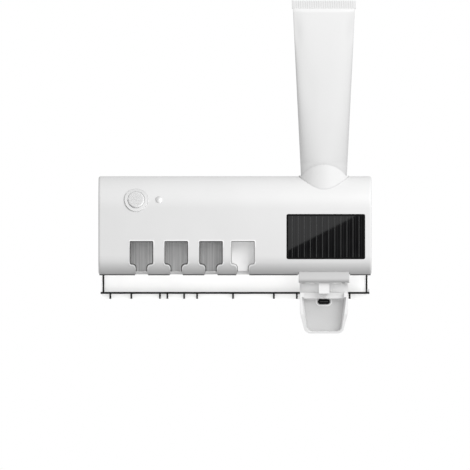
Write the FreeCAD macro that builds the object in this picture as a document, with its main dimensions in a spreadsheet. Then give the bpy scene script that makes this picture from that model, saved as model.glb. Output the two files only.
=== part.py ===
import FreeCAD, Part
import math
import os
import re
import Sketcher

# Wall-mounted toothpaste dispenser, in millimetres. X runs along the case, Z is up, the wall is the plane
# Y = 0 and the front faces -Y. The origin is the middle of the wall plate's adhesive face.

doc = FreeCAD.newDocument("toothpaste_dispenser")
Vector = FreeCAD.Vector

# Driving sizes

SIZES = (
    ("pad_thickness", 1.0, "adhesive pads between wall and plate"),
    ("plate_thickness", 2.5, "wall plate"),
    ("plate_width", 180.0, "wall plate along X"),
    ("plate_height", 60.0, "wall plate along Z"),
    ("plate_corner", 6.0, "wall plate corner radius"),
    ("pad_width", 50.0, "one adhesive pad along X"),
    ("pad_height", 46.0, "one adhesive pad along Z"),
    ("pad_spacing", 60.0, "pad to pad, middle to middle"),
    ("hang_gap", 0.5, "air between wall plate and case"),
    ("hook_spacing", 90.0, "hook to hook"),
    ("hook_width", 12.0, "hook along X"),
    ("hook_height", 14.0, "underside of a hook above the plate's middle"),
    ("hook_stem", 5.0, "height of the stem that carries the case"),
    ("hook_rise", 8.0, "height of the hook's lip above its stem"),
    ("hook_lip", 2.0, "thickness of the hook's lip"),
    ("hook_play", 0.3, "air round a hook in its slot"),
    ("wall", 2.0, "shell of the cover and the rear case"),
    ("top_radius", 29.0, "round of the cover's upper front edge"),
    ("bottom_radius", 17.0, "round of the cover's lower front edge"),
    ("end_radius", 2.0, "round of the cover's end edges"),
    ("flat_margin", 3.0, "flat part of the front beyond the solar panel's height"),
    ("fit_gap", 0.2, "air between pieces that nest"),
    ("first_slot", 39.4, "left end to the first hanging slot"),
    ("slot_pitch", 31.8, "between the first three slots"),
    ("last_pitch", 29.2, "third slot to the blind one"),
    ("slot_to_pump", 74.3, "blind slot to the pump's middle"),
    ("pump_from_right", 43.5, "pump's middle to the right end"),
    ("slot_width", 21.6, "wide part of a hanging slot"),
    ("slot_height", 21.7, "wide part of a hanging slot"),
    ("neck_width", 10.4, "neck of a hanging slot"),
    ("neck_height", 8.8, "neck of a hanging slot, from the case's underside"),
    ("slot_corner", 1.9, "lower corners of a slot's wide part"),
    ("slot_top_corner", 0.9, "upper corners of a slot"),
    ("neck_flare", 3.6, "shoulders between a slot's wide part and its neck"),
    ("slot_reach", 27.0, "depth of a slot's neck in the underside"),
    ("solar_width", 71.7, "solar panel"),
    ("solar_height", 41.0, "solar panel"),
    ("solar_from_right", 6.1, "solar panel to the right end"),
    ("solar_drop", 2.9, "solar panel below the flat part of the front"),
    ("solar_sink", 2.0, "recess of the solar panel"),
    ("solar_backing", 1.6, "cover behind the solar recess"),
    ("solar_gap", 0.15, "air round the solar panel"),
    ("solar_border", 1.5, "black border round the cells"),
    ("solar_corner", 1.4, "corners of the solar panel"),
    ("solar_board_thickness", 1.0, "solar panel's carrier board"),
    ("cell_thickness", 0.4, "solar cell strips"),
    ("cell_pitch", 5.55, "strip to strip, but for the two narrow end strips"),
    ("cell_gap", 0.5, "between two strips"),
    ("border_rise", 0.2, "border above the cells"),
    ("button_from_left", 34.5, "left end to the button"),
    ("button_angle", 14.8, "slant of the button's axis, square to the rounded edge"),
    ("button_radius", 7.5, "button cap"),
    ("button_gap", 0.35, "air round the button cap"),
    ("button_rise", 1.9, "button cap above the skin"),
    ("button_travel", 1.2, "press of the button"),
    ("button_round", 0.9, "round of the button's rim"),
    ("cap_collar_height", 1.0, "collar under the button cap"),
    ("cap_play", 0.15, "air between the collar and the sleeve"),
    ("bezel_width", 2.9, "ring round the button"),
    ("bezel_rise", 0.9, "ring above the skin"),
    ("bezel_sleeve", 1.2, "sleeve under the ring"),
    ("bezel_sink", 1.0, "ring let into the skin"),
    ("sleeve_depth", 5.6, "sleeve below the skin"),
    ("lens_from_button", 20.8, "button to sensor lens"),
    ("lens_radius", 3.2, "sensor lens"),
    ("lens_rise", 1.7, "crown of the lens above the skin"),
    ("lens_depth", 4.0, "stem of the lens below the skin"),
    ("control_depth", 11.5, "control board below the skin"),
    ("control_width", 52.0, "control board along X"),
    ("control_height", 19.0, "control board"),
    ("board_thickness", 1.6, "circuit boards"),
    ("switch_size", 6.0, "tact switch body"),
    ("switch_height", 2.0, "tact switch body"),
    ("plunger_radius", 1.6, "tact switch plunger"),
    ("plunger_height", 0.5, "tact switch plunger above its body"),
    ("board_screw_radius", 1.0, "control board's screws"),
    ("board_screw_length", 5.0, "control board's screws"),
    ("sensor_radius", 2.3, "motion sensor"),
    ("stand_radius", 2.4, "posts under the boards"),
    ("stand_inset", 3.1, "control board's posts inside its ends"),
    ("apron_drop", 23.0, "rear case below the cover"),
    ("apron_inset", 2.5, "rear case's lower panel inside the case's ends"),
    ("rail_drop", 16.2, "hanger rail below the cover"),
    ("rail_inset", 1.6, "hanger rail inside the case's ends"),
    ("rail_thickness", 1.8, "ledge of the hanger rail"),
    ("rail_depth", 9.0, "ledge of the hanger rail"),
    ("rib_thickness", 1.6, "ribs under the ledge"),
    ("rib_drop", 4.5, "ribs under the ledge"),
    ("rib_foot", 2.5, "depth of a rib at its lower end"),
    ("leg_inset", 3.3, "rail's upright legs inside the case's ends"),
    ("rib1_from_left", 10.5, "ribs under the hanger rail, counted from the left"),
    ("rib2_from_left", 29.8, "second rib"),
    ("rib3_from_left", 56.1, "third rib"),
    ("rib4_from_left", 62.9, "fourth rib"),
    ("rib5_from_left", 78.3, "fifth rib"),
    ("rib6_from_left", 90.2, "sixth rib"),
    ("rib7_from_left", 123.2, "seventh rib"),
    ("rib8_from_left", 160.7, "eighth rib"),
    ("rib9_from_left", 181.8, "ninth rib"),
    ("rib10_from_left", 230.3, "tenth rib"),
    ("tube_radius", 20.5, "toothpaste tube at its shoulder"),
    ("tube_flat", 27.7, "half width of the tube below its crimp"),
    ("crimp_half_width", 29.3, "half width of the tube's crimp"),
    ("crimp_height", 7.9, "tube's crimp"),
    ("crimp_thickness", 1.4, "tube's crimp"),
    ("sleeve_length", 164.1, "tube from shoulder to crimp"),
    ("shoulder_height", 6.0, "cone of the tube's head"),
    ("shoulder_neck", 9.0, "radius where the tube's cone meets its neck"),
    ("neck_radius", 6.5, "tube's threaded neck"),
    ("neck_length", 13.0, "tube's threaded neck"),
    ("cup_clearance", 1.0, "air between tube and cup"),
    ("cup_wall", 1.5, "tube cup"),
    ("cup_floor", 2.0, "floor of the tube cup"),
    ("cup_sink", 19.0, "cup's underside below the case's top"),
    ("cup_rise", 10.5, "cup's arched rim above the case's top"),
    ("cup_rim", 0.6, "lowest part of the cup's rim above the case's top"),
    ("rim_arch", 25.0, "radius of the rim's arch, seen from the front"),
    ("cup_setback", 5.8, "front of the cup behind the cover's front"),
    ("cup_back_gap", 1.6, "air behind the cup"),
    ("seat_gap", 0.3, "air between the tube's shoulder and its seat"),
    ("hood_width", 46.0, "pump hood along X"),
    ("hood_setback", 8.0, "front of the hood behind the cover's front"),
    ("hood_wall", 2.0, "sides and back of the hood"),
    ("hood_front_wall", 4.4, "front of the hood"),
    ("hood_round", 4.0, "lower front edge of the hood"),
    ("hood_gap", 0.3, "air round the hood in the cover"),
    ("pivot_drop", 3.0, "lever's pivot below the case"),
    ("pivot_cover", 4.6, "hood below the pivot"),
    ("pin_radius", 1.5, "lever's pin"),
    ("pin_play", 0.05, "running fit of the lever on its pin"),
    ("arm_length", 17.0, "pivot to the piston's axis"),
    ("arm_tip", 4.0, "round tip of the lever's arm"),
    ("arm_half", 5.0, "half width of the lever's arm"),
    ("arm_thickness", 6.0, "lever's arm"),
    ("barrel_radius", 4.0, "lever's barrel round the pin"),
    ("barrel_room", 3.0, "air behind the barrel in the hood"),
    ("contact_gap", 0.3, "air between arm and piston at rest"),
    ("port_setback", 8.9, "ports behind the front of the hood"),
    ("port_radius", 2.0, "ports of the pump chamber"),
    ("bore_radius", 7.0, "pump chamber"),
    ("bore_wall", 2.0, "pump chamber"),
    ("bore_end", 1.2, "front wall of the pump chamber"),
    ("bore_ahead", 2.8, "chamber ahead of its ports"),
    ("piston_setback", 7.2, "piston's face behind the ports, at rest"),
    ("piston_length", 5.0, "piston head"),
    ("piston_play", 0.05, "running fit of the piston"),
    ("rod_radius", 3.0, "piston rod"),
    ("rod_length", 5.2, "piston rod with its button"),
    ("rod_button", 1.5, "thickness of the rod's button"),
    ("rod_button_radius", 5.5, "rod's button"),
    ("ring_width", 1.8, "piston's seal ring"),
    ("ring_depth", 1.3, "piston's seal ring"),
    ("spring_radius", 5.0, "return spring, middle of the wire"),
    ("spring_wire", 0.7, "return spring wire diameter"),
    ("spring_turns", 4.0, "return spring"),
    ("spring_gap", 0.1, "air at each end of the return spring"),
    ("flange_thickness", 3.0, "pump body's flange on the hood"),
    ("tower_radius", 9.6, "pump body's inlet tower"),
    ("tower_cap_radius", 14.0, "disc under the cup's floor"),
    ("tower_cap", 3.0, "disc under the cup's floor"),
    ("seal_radius", 8.0, "inlet seal"),
    ("seal_height", 11.0, "inlet seal"),
    ("seal_gap", 0.25, "air between inlet seal and the tube's neck"),
    ("valve_radius", 5.8, "inlet flap valve"),
    ("valve_thickness", 1.0, "inlet flap valve"),
    ("valve_well", 9.0, "well of the inlet valve under the seal"),
    ("gallery_radius", 2.5, "gallery from the tower to the port"),
    ("gallery_wall", 2.5, "block round the gallery"),
    ("plug_length", 2.0, "plug of the gallery"),
    ("press_gap", 0.04, "fit of plugs, rings and seals"),
    ("spigot_radius", 3.0, "pump body's outlet"),
    ("spigot_length", 6.0, "pump body's outlet below the chamber"),
    ("nozzle_width", 9.6, "outlet nozzle along X"),
    ("nozzle_half_depth", 4.0, "outlet nozzle along Y"),
    ("nozzle_drop", 10.0, "outlet nozzle below the hood"),
    ("nozzle_grip", 4.0, "nozzle on the spigot"),
    ("tip_radius", 3.0, "duckbill in the nozzle's mouth"),
    ("tip_length", 4.0, "duckbill in the nozzle's mouth"),
    ("tip_slit", 0.5, "duckbill's slit"),
    ("lever_setback", 10.0, "back of the lever's plate ahead of its pivot"),
    ("lever_wall", 2.0, "lever's plate and walls"),
    ("lever_depth", 12.0, "hollow of the lever"),
    ("lever_gap", 0.6, "lever below the hood"),
    ("lever_half_width", 22.0, "lever along X"),
    ("lever_straight", 27.0, "straight upper part of the lever"),
    ("lever_length", 45.8, "lever below the hood"),
    ("lever_foot", 17.0, "half width of the lever's lower end"),
    ("lever_corner", 6.0, "lower corners of the lever"),
    ("lever_knee", 20.0, "round where the lever begins to narrow"),
    ("recess_height", 8.5, "upper recess of the lever"),
    ("band_height", 6.1, "cross band of the lever"),
    ("band_depth", 4.5, "cross band above the lever's plate"),
    ("cup_half_top", 18.2, "lever's hollow below the band"),
    ("cup_half_foot", 14.7, "lever's hollow at its lower end"),
    ("cup_lip", 2.5, "lever's lower lip"),
    ("cup_corner", 5.0, "lower corners of the lever's hollow"),
    ("cup_draft", 9.0, "draft of the hollow's walls"),
    ("lever_slope", 6.0, "lever's front edge, drawn back at its lower end"),
    ("slope_height", 24.0, "height of the slope of the lever's front edge"),
    ("ear_inner", 17.0, "lever's ears"),
    ("ear_outer", 19.5, "lever's ears and barrel"),
    ("push_pad_width", 11.0, "oval pad"),
    ("push_pad_height", 4.4, "oval pad"),
    ("push_pad_drop", 2.2, "middle of the oval pad below the cross band"),
    ("push_pad_rise", 1.0, "oval pad above the lever's plate"),
    ("screw_inset", 6.5, "case screws inside the case's walls"),
    ("screw_radius", 1.5, "screws"),
    ("screw_head_radius", 2.8, "screw heads"),
    ("screw_head", 2.0, "screw heads"),
    ("screw_sink", 3.0, "recess of the screw heads"),
    ("screw_length", 14.0, "screws with half their heads"),
    ("boss_radius", 5.0, "cover's screw bosses"),
    ("boss_length", 15.0, "cover's screw bosses"),
    ("post_radius", 4.2, "rear case's screw posts"),
    ("post_height", 4.0, "rear case's screw posts"),
    ("mid_screw_to_pump", 38.0, "middle screws to the pump"),
    ("pump_screw_half", 14.0, "pump screws from the pump's middle"),
    ("pump_boss", 9.0, "hood's bosses for the pump screws"),
    ("rim_thickness", 1.4, "rear case's locating rims"),
    ("rim_depth", 5.0, "rear case's locating rims"),
    ("chamber_margin", 24.0, "reflector beyond the first slot"),
    ("chamber_end", 14.0, "reflector beyond the third slot"),
    ("chamber_back", 33.0, "reflector behind the front"),
    ("chamber_height", 6.5, "reflector above the slots"),
    ("reflector_thickness", 0.8, "reflector sheet"),
    ("reflector_lift", 0.6, "reflector above the cover's floor"),
    ("lamp_radius", 3.0, "lamp tube"),
    ("lamp_inset", 9.0, "lamp's ends inside the reflector"),
    ("lamp_ahead", 8.0, "lamp ahead of the reflector's back"),
    ("holder_width", 6.0, "lamp holders along X"),
    ("holder_wall", 1.0, "lamp holders round the lamp"),
    ("pocket_margin", 1.6, "blind pocket beside its slot"),
    ("pocket_wall", 1.2, "blind pocket"),
    ("pocket_depth", 13.0, "blind pocket behind the cover's skin"),
    ("power_width", 32.0, "power board along X"),
    ("power_height", 26.0, "power board along Z"),
    ("power_from_left", 2.6, "power board from the left end"),
    ("power_stand", 8.0, "power board's posts"),
    ("power_drop", 17.0, "power board below the case's top"),
    ("socket_length", 7.3, "charging socket along X"),
    ("socket_width", 9.0, "charging socket along Z"),
    ("socket_height", 3.2, "charging socket"),
    ("socket_wall", 0.35, "charging socket's shell"),
    ("port_gap", 0.3, "air round the charging socket in the cover's end"),
    ("flap_margin", 2.6, "rubber plug's flap round the charging port"),
    ("flap_thickness", 1.0, "rubber plug's flap"),
    ("flap_gap", 0.25, "air round the rubber plug"),
    ("battery_radius", 9.2, "battery cell"),
    ("battery_length", 65.0, "battery cell"),
    ("battery_drop", 25.0, "middle of the battery below the case's top"),
    ("battery_gap", 1.2, "cradle between battery and rear case"),
    ("cradle_length", 52.0, "battery cradle"),
    ("cradle_wall", 1.6, "battery cradle beside the cell"),
    ("cradle_play", 0.15, "air between cell and cradle"),
    ("lead_radius", 0.8, "leads"),
    ("lead_bend", 8.0, "bend of the leads"),
    ("lead_clear", 4.0, "leads clear of what they pass"),
    ("lead_drop", 10.0, "upper lead below the case's top"),
)

# Places worked out from the sizes

PLACES = (
    ("plate_back", "-pad_thickness"),
    ("plate_front", "plate_back - plate_thickness"),
    ("back_y", "plate_front - hang_gap"),
    ("seam_y", "back_y - wall"),
    ("lip_front", "seam_y - hook_play - hook_lip"),
    ("cup_bore", "tube_radius + cup_clearance"),
    ("cup_radius", "cup_bore + cup_wall"),
    ("cup_y", "seam_y - cup_back_gap - cup_radius"),
    ("front_y", "cup_y - cup_radius - cup_setback"),
    ("case_width", "first_slot + 2 * slot_pitch + last_pitch + slot_to_pump + pump_from_right"),
    ("left_x", "-case_width / 2"),
    ("right_x", "case_width / 2"),
    ("case_height", "top_radius + solar_height + flat_margin + bottom_radius"),
    ("top_z", "case_height / 2"),
    ("bottom_z", "-case_height / 2"),
    ("slot1_x", "left_x + first_slot"),
    ("slot2_x", "slot1_x + slot_pitch"),
    ("slot3_x", "slot2_x + slot_pitch"),
    ("slot4_x", "slot3_x + last_pitch"),
    ("pump_x", "right_x - pump_from_right"),
    ("slot_base", "bottom_z + neck_height"),
    ("slot_top", "slot_base + slot_height"),
    ("round_y", "front_y + top_radius"),
    ("round_z", "top_z - top_radius"),
    ("button_x", "left_x + button_from_left"),
    ("lens_x", "button_x + lens_from_button"),
    ("skin_y", "round_y - top_radius * cos(button_angle)"),
    ("skin_z", "round_z + top_radius * sin(button_angle)"),
    ("bezel_reach", "bezel_rise + 4 * wall"),
    ("bezel_bore", "button_radius + button_gap"),
    ("bezel_radius", "bezel_bore + bezel_width"),
    ("sleeve_radius", "bezel_bore + bezel_sleeve"),
    ("cap_depth", "sleeve_depth + cap_play + cap_collar_height"),
    ("stem_depth", "control_depth - switch_height - plunger_height - button_travel - cap_play"),
    ("lens_ball_radius", "(lens_radius * lens_radius + lens_rise * lens_rise) / (2 * lens_rise)"),
    ("solar_right", "right_x - solar_from_right"),
    ("solar_left", "solar_right - solar_width"),
    ("solar_low", "bottom_z + bottom_radius - solar_drop"),
    ("solar_high", "solar_low + solar_height"),
    ("solar_floor", "front_y + solar_sink"),
    ("cell_back", "solar_floor - solar_board_thickness"),
    ("solar_exit", "solar_left + lead_clear + 2 * lead_radius"),
    ("solar_middle", "(solar_low + solar_high) / 2"),
    ("apron_z", "bottom_z - apron_drop"),
    ("ledge_top", "bottom_z - rail_drop"),
    ("ledge_low", "ledge_top - rail_thickness"),
    ("rail_front", "seam_y - rail_depth"),
    ("cup_base", "top_z - cup_sink"),
    ("cup_top", "top_z + cup_rise"),
    ("seat_z", "cup_base + cup_floor"),
    ("tube_z", "seat_z + seat_gap + shoulder_height"),
    ("crimp_z", "tube_z + sleeve_length"),
    ("hood_left", "pump_x - hood_width / 2"),
    ("hood_right", "pump_x + hood_width / 2"),
    ("hood_front", "front_y + hood_setback"),
    ("pivot_z", "bottom_z - pivot_drop"),
    ("hood_low", "pivot_z - pivot_cover"),
    ("piston_z", "pivot_z + arm_length"),
    ("chamber_radius", "bore_radius + bore_wall"),
    ("hood_top", "piston_z + bore_radius"),
    ("flange_top", "hood_top + flange_thickness"),
    ("port_y", "hood_front + port_setback"),
    ("bore_front", "port_y - bore_ahead"),
    ("head_front", "port_y + piston_setback"),
    ("head_rear", "head_front + piston_length"),
    ("rod_rear", "head_rear + rod_length"),
    ("ring_front", "(head_front + head_rear - ring_width) / 2"),
    ("spring_length", "head_front - bore_front - 2 * spring_gap"),
    ("pivot_y", "rod_rear + contact_gap + arm_tip"),
    ("hood_rear", "pivot_y + barrel_radius + barrel_room + hood_wall"),
    ("gallery_z", "flange_top + gallery_radius + gallery_wall"),
    ("gallery_front", "port_y - port_radius - plug_length"),
    ("seal_low", "cup_base - seal_height"),
    ("valve_z", "seal_low - valve_well"),
    ("nozzle_low", "hood_low - nozzle_drop"),
    ("spigot_low", "piston_z - chamber_radius - spigot_length"),
    ("nozzle_top", "spigot_low + nozzle_grip"),
    ("lever_back", "pivot_y - lever_setback"),
    ("lever_face", "lever_back - lever_wall"),
    ("lever_front", "lever_face - lever_depth"),
    ("lever_top", "hood_low - lever_gap"),
    ("lever_low", "lever_top - lever_length"),
    ("band_top", "lever_top - recess_height"),
    ("band_low", "band_top - band_height"),
    ("push_pad_z", "band_low - push_pad_drop"),
    ("screw_left", "left_x + screw_inset"),
    ("screw_mid", "pump_x - mid_screw_to_pump"),
    ("screw_right", "right_x - screw_inset"),
    ("screw_high", "top_z - screw_inset"),
    ("screw_low", "bottom_z + screw_inset"),
    ("head_seat", "back_y - screw_sink"),
    ("boss_back", "seam_y - post_height"),
    ("pump_screw_z", "piston_z"),
    ("chamber_left", "slot1_x - chamber_margin"),
    ("chamber_right", "slot3_x + chamber_end"),
    ("chamber_y", "front_y + chamber_back"),
    ("chamber_top", "slot_top + chamber_height"),
    ("chamber_low", "bottom_z + wall + reflector_lift"),
    ("lamp_y", "chamber_y - lamp_ahead"),
    ("lamp_z", "chamber_top - lamp_radius - holder_wall"),
    ("pocket_half", "slot_width / 2 + pocket_margin"),
    ("pocket_back", "front_y + wall + pocket_depth"),
    ("power_left", "left_x + power_from_left"),
    ("power_right", "power_left + power_width"),
    ("power_top", "top_z - power_drop"),
    ("power_low", "power_top - power_height"),
    ("power_back", "seam_y - power_stand"),
    ("power_front", "power_back - board_thickness"),
    ("socket_z", "power_low + power_height / 2"),
    ("socket_y", "power_front - socket_height / 2"),
    ("battery_y", "seam_y - battery_gap - battery_radius"),
    ("battery_z", "top_z - battery_drop"),
    ("lead_y", "boss_back - boss_length - lead_clear"),
    ("lead_z", "top_z - lead_drop"),
    ("lead_end", "power_right - lead_clear"),
    ("lead_stop", "power_front - lead_radius"),
    ("lead_low", "power_top - lead_clear"),
    ("lamp_lead_x", "chamber_left + lamp_inset - holder_wall + holder_width / 2"),
    ("lamp_lead_z", "chamber_top + reflector_thickness"),
    ("lamp_lead_top", "lamp_lead_z + 2 * lead_bend"),
    ("lamp_lead_end", "power_low + power_height / 4"),
)

# Spreadsheets: column A says what a cell is, column B holds it

sizes = doc.addObject("Spreadsheet::Sheet", "sizes")
for row, (alias, value, words) in enumerate(SIZES, start=1):
    sizes.set(f"A{row}", words)
    sizes.set(f"B{row}", str(value))
    sizes.setAlias(f"B{row}", alias)

CELLS = {alias: f"sizes.{alias}" for alias, value, words in SIZES}
CELLS.update({alias: f"places.{alias}" for alias, text in PLACES})


def formula(text):
    """The text with every size and place pointing at its spreadsheet cell."""
    return re.sub(r"[a-z]\w*", lambda word: CELLS.get(word[0], word[0]), text)


places = doc.addObject("Spreadsheet::Sheet", "places")
for row, (alias, text) in enumerate(PLACES, start=1):
    places.set(f"A{row}", alias)
    places.set(f"B{row}", "=" + formula(text))
    places.setAlias(f"B{row}", alias)
doc.recompute()

# Shapes made from formulas

NEAR = 1e-4
ALONG = {
    "x": FreeCAD.Rotation(Vector(0, 1, 0), 90),
    "y": FreeCAD.Rotation(Vector(1, 0, 0), -90),
    "z": FreeCAD.Rotation(),
}


def bind(thing, **texts):
    """Ties properties of a document object to formulas."""
    for name, text in texts.items():
        thing.setExpression(name, formula(text))
    return thing


def put(thing, point):
    """Ties an object's place to three formulas."""
    for axis, text in zip("xyz", point):
        thing.setExpression(f"Placement.Base.{axis}", formula(text))
    return thing


def box(label, x, y, z):
    """A block between a low and a high formula on each axis."""
    block = doc.addObject("Part::Box", label)
    for size, (low, high) in zip(("Length", "Width", "Height"), (x, y, z)):
        block.setExpression(size, formula(f"({high}) - ({low})"))
    return put(block, (x[0], y[0], z[0]))


def around(middle, half):
    """The low and high formula of a span about a middle."""
    return f"{middle} - ({half})", f"{middle} + ({half})"


def rod(label, axis, start, length, radius):
    """A cylinder that runs from its start along +X, +Y or +Z."""
    cylinder = doc.addObject("Part::Cylinder", label)
    cylinder.Placement = FreeCAD.Placement(Vector(), ALONG[axis])
    return put(bind(cylinder, Height=length, Radius=radius), start)


def cone(label, start, length, low_radius, high_radius):
    """An upright cone from its start along +Z."""
    taper = doc.addObject("Part::Cone", label)
    return put(bind(taper, Height=length, Radius1=low_radius, Radius2=high_radius), start)


def join(label, *pieces):
    """One solid of several."""
    fused = doc.addObject("Part::MultiFuse", label)
    fused.Shapes = list(pieces)
    return fused


def group(label, *pieces):
    """Separate solids under one name."""
    compound = doc.addObject("Part::Compound", label)
    compound.Links = list(pieces)
    return compound


def cut(label, base, *tools):
    """A solid less one or more tools."""
    result = doc.addObject("Part::Cut", label)
    result.Base = base
    result.Tool = tools[0] if len(tools) == 1 else join(f"{label}_tools", *tools)
    return result


def common(label, one, other):
    """What two solids share."""
    result = doc.addObject("Part::Common", label)
    result.Base = one
    result.Tool = other
    return result


def prism(label, plane, corners, low, high, rounds=(), draft=None):
    """A body padded from a polygon sketch on XZ or YZ, with some of its corners rounded.

    rounds pairs a radius with the numbers of the corners that have it.
    """
    body = doc.addObject("PartDesign::Body", label)
    sketch = body.newObject("Sketcher::SketchObject", f"{label}_outline")
    support = next(plane_ for plane_ in body.Origin.OriginFeatures if plane_.Role == f"{plane}_Plane")
    sketch.AttachmentSupport = [(support, "")]
    sketch.MapMode = "FlatFace"
    offset = f"-({high})" if plane == "XZ" else low
    sketch.setExpression("AttachmentOffset.Base.z", formula(offset))
    count = len(corners)
    guess = [Vector(math.cos(turn), math.sin(turn), 0) * 10
             for turn in (0.3 + math.tau * index / count for index in range(count))]
    for index in range(count):
        sketch.addGeometry(Part.LineSegment(guess[index], guess[(index + 1) % count]), False)
    for index in range(count):
        sketch.addConstraint(Sketcher.Constraint("Coincident", index, 2, (index + 1) % count, 1))
    for index, corner in enumerate(corners):
        for kind, text, start in zip(("DistanceX", "DistanceY"), corner, guess[index]):
            place = sketch.addConstraint(Sketcher.Constraint(kind, index, 1, start))
            sketch.setExpression(f"Constraints[{place}]", formula(text))
    pad = body.newObject("PartDesign::Pad", f"{label}_pad")
    pad.Profile = sketch
    bind(pad, Length=f"({high}) - ({low})")
    if draft:
        bind(pad, TaperAngle=draft)
    doc.recompute()
    marks = [sketch.getPoint(index, 1) for index in range(count)]
    last = pad
    for radius, chosen in rounds:
        fillet = body.newObject("PartDesign::Fillet", f"{label}_round")
        fillet.Base = (last, standing_edges(last.Shape, plane, [marks[index] for index in chosen]))
        bind(fillet, Radius=radius)
        doc.recompute()
        last = fillet
    return body


def standing_edges(shape, plane, marks):
    """Names of the edges that leave the sketch's plane from the given sketch points."""
    names = []
    for number, edge in enumerate(shape.Edges, start=1):
        ends = edge.Vertexes
        depths = [point.Y if plane == "XZ" else point.X for point in ends]
        flat = [(point.X if plane == "XZ" else point.Y, point.Z) for point in ends]
        leaves = len(ends) == 2 and abs(depths[0] - depths[1]) > NEAR
        if leaves and any(math.dist(spot, (mark.x, mark.y)) < NEAR for spot in flat for mark in marks):
            names.append(f"Edge{number}")
    return names


def rounded_plate(label, x, y, z, radius):
    """An upright plate with four rounded corners, between a low and a high formula on each axis."""
    corners = [(x[0], z[0]), (x[1], z[0]), (x[1], z[1]), (x[0], z[1])]
    return prism(label, "XZ", corners, *y, [(radius, (0, 1, 2, 3))])


def slanted(start):
    """The Y and Z formulas of a point on the button's slanted axis, a depth below the skin."""
    return f"skin_y + ({start}) * cos(button_angle)", f"skin_z - ({start}) * sin(button_angle)"


def slanted_rod(label, x, start, length, radius):
    """A cylinder square to the rounded edge, from a depth below the skin inwards."""
    cylinder = doc.addObject("Part::Cylinder", label)
    cylinder.Placement = FreeCAD.Placement(Vector(), FreeCAD.Rotation(Vector(1, 0, 0), 250))
    cylinder.setExpression("Placement.Rotation.Angle", formula("270 - button_angle"))
    return put(bind(cylinder, Height=length, Radius=radius), (x, *slanted(start)))


def slanted_box(label, x, width, height, start, thickness):
    """A block square to the rounded edge, centred on its axis, from a depth below the skin inwards."""
    block = doc.addObject("Part::Box", label)
    block.Placement = FreeCAD.Placement(Vector(), FreeCAD.Rotation(Vector(1, 0, 0), 250))
    block.setExpression("Placement.Rotation.Angle", formula("270 - button_angle"))
    bind(block, Length=width, Width=height, Height=thickness)
    y, z = slanted(start)
    corner = (f"{x} - ({width}) / 2", f"{y} + ({height}) / 2 * sin(button_angle)",
              f"{z} + ({height}) / 2 * cos(button_angle)")
    return put(block, corner)


def stadium(label, x, z, width, height, low, high):
    """A flat oval with round ends, between two Y formulas."""
    reach = f"(({width}) - ({height})) / 2"
    ends = [rod(f"{label}_end{number}", "y", (f"{x} + ({sign}) * ({reach})", low, z),
                f"({high}) - ({low})", f"({height}) / 2")
            for number, sign in enumerate((-1, 1))]
    middle = box(f"{label}_middle", around(x, reach), (low, high), around(z, f"({height}) / 2"))
    return join(label, middle, *ends)


# Wall plate: a flat plate with two hooks that carry the case, on three adhesive pads


def wall_plate():
    plate = rounded_plate("plate_blank", around("0", "plate_width / 2"), ("plate_front", "plate_back"),
                          around("0", "plate_height / 2"), "plate_corner")
    hooks = []
    for side, sign in (("left", "-"), ("right", "")):
        span = around(f"{sign}hook_spacing / 2", "hook_width / 2")
        stem_top = "hook_height + hook_stem"
        hooks.append(box(f"hook_stem_{side}", span, ("lip_front", "plate_front"), ("hook_height", stem_top)))
        hooks.append(box(f"hook_lip_{side}", span, ("lip_front", "lip_front + hook_lip"),
                         ("hook_height", f"{stem_top} + hook_rise")))
    return join("wall_plate", plate, *hooks)


def adhesive_pads():
    pads = [box(f"pad_{number}", around(f"({number}) * pad_spacing", "pad_width / 2"), ("plate_back", "0"),
                around("0", "pad_height / 2"))
            for number in (-1, 0, 1)]
    return group("adhesive_pads", *pads)


# Rear case: the flat back of the unit, whose lower panel shows under the cover

CASE_SCREWS = [(x, z) for x in ("screw_left", "screw_mid", "screw_right")
               for z in ("screw_high", "screw_low")]
PUMP_SCREWS = [(f"pump_x {sign} pump_screw_half", "pump_screw_z") for sign in "-+"]
STANDS = [("power_left + 3 * stand_radius", "power_low + 2 * stand_radius"),
          ("power_left + 3 * stand_radius", "power_top - 2 * stand_radius"),
          ("power_right - 2 * stand_radius", "power_low + 2 * stand_radius"),
          ("power_right - 2 * stand_radius", "power_top - 2 * stand_radius")]


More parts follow.
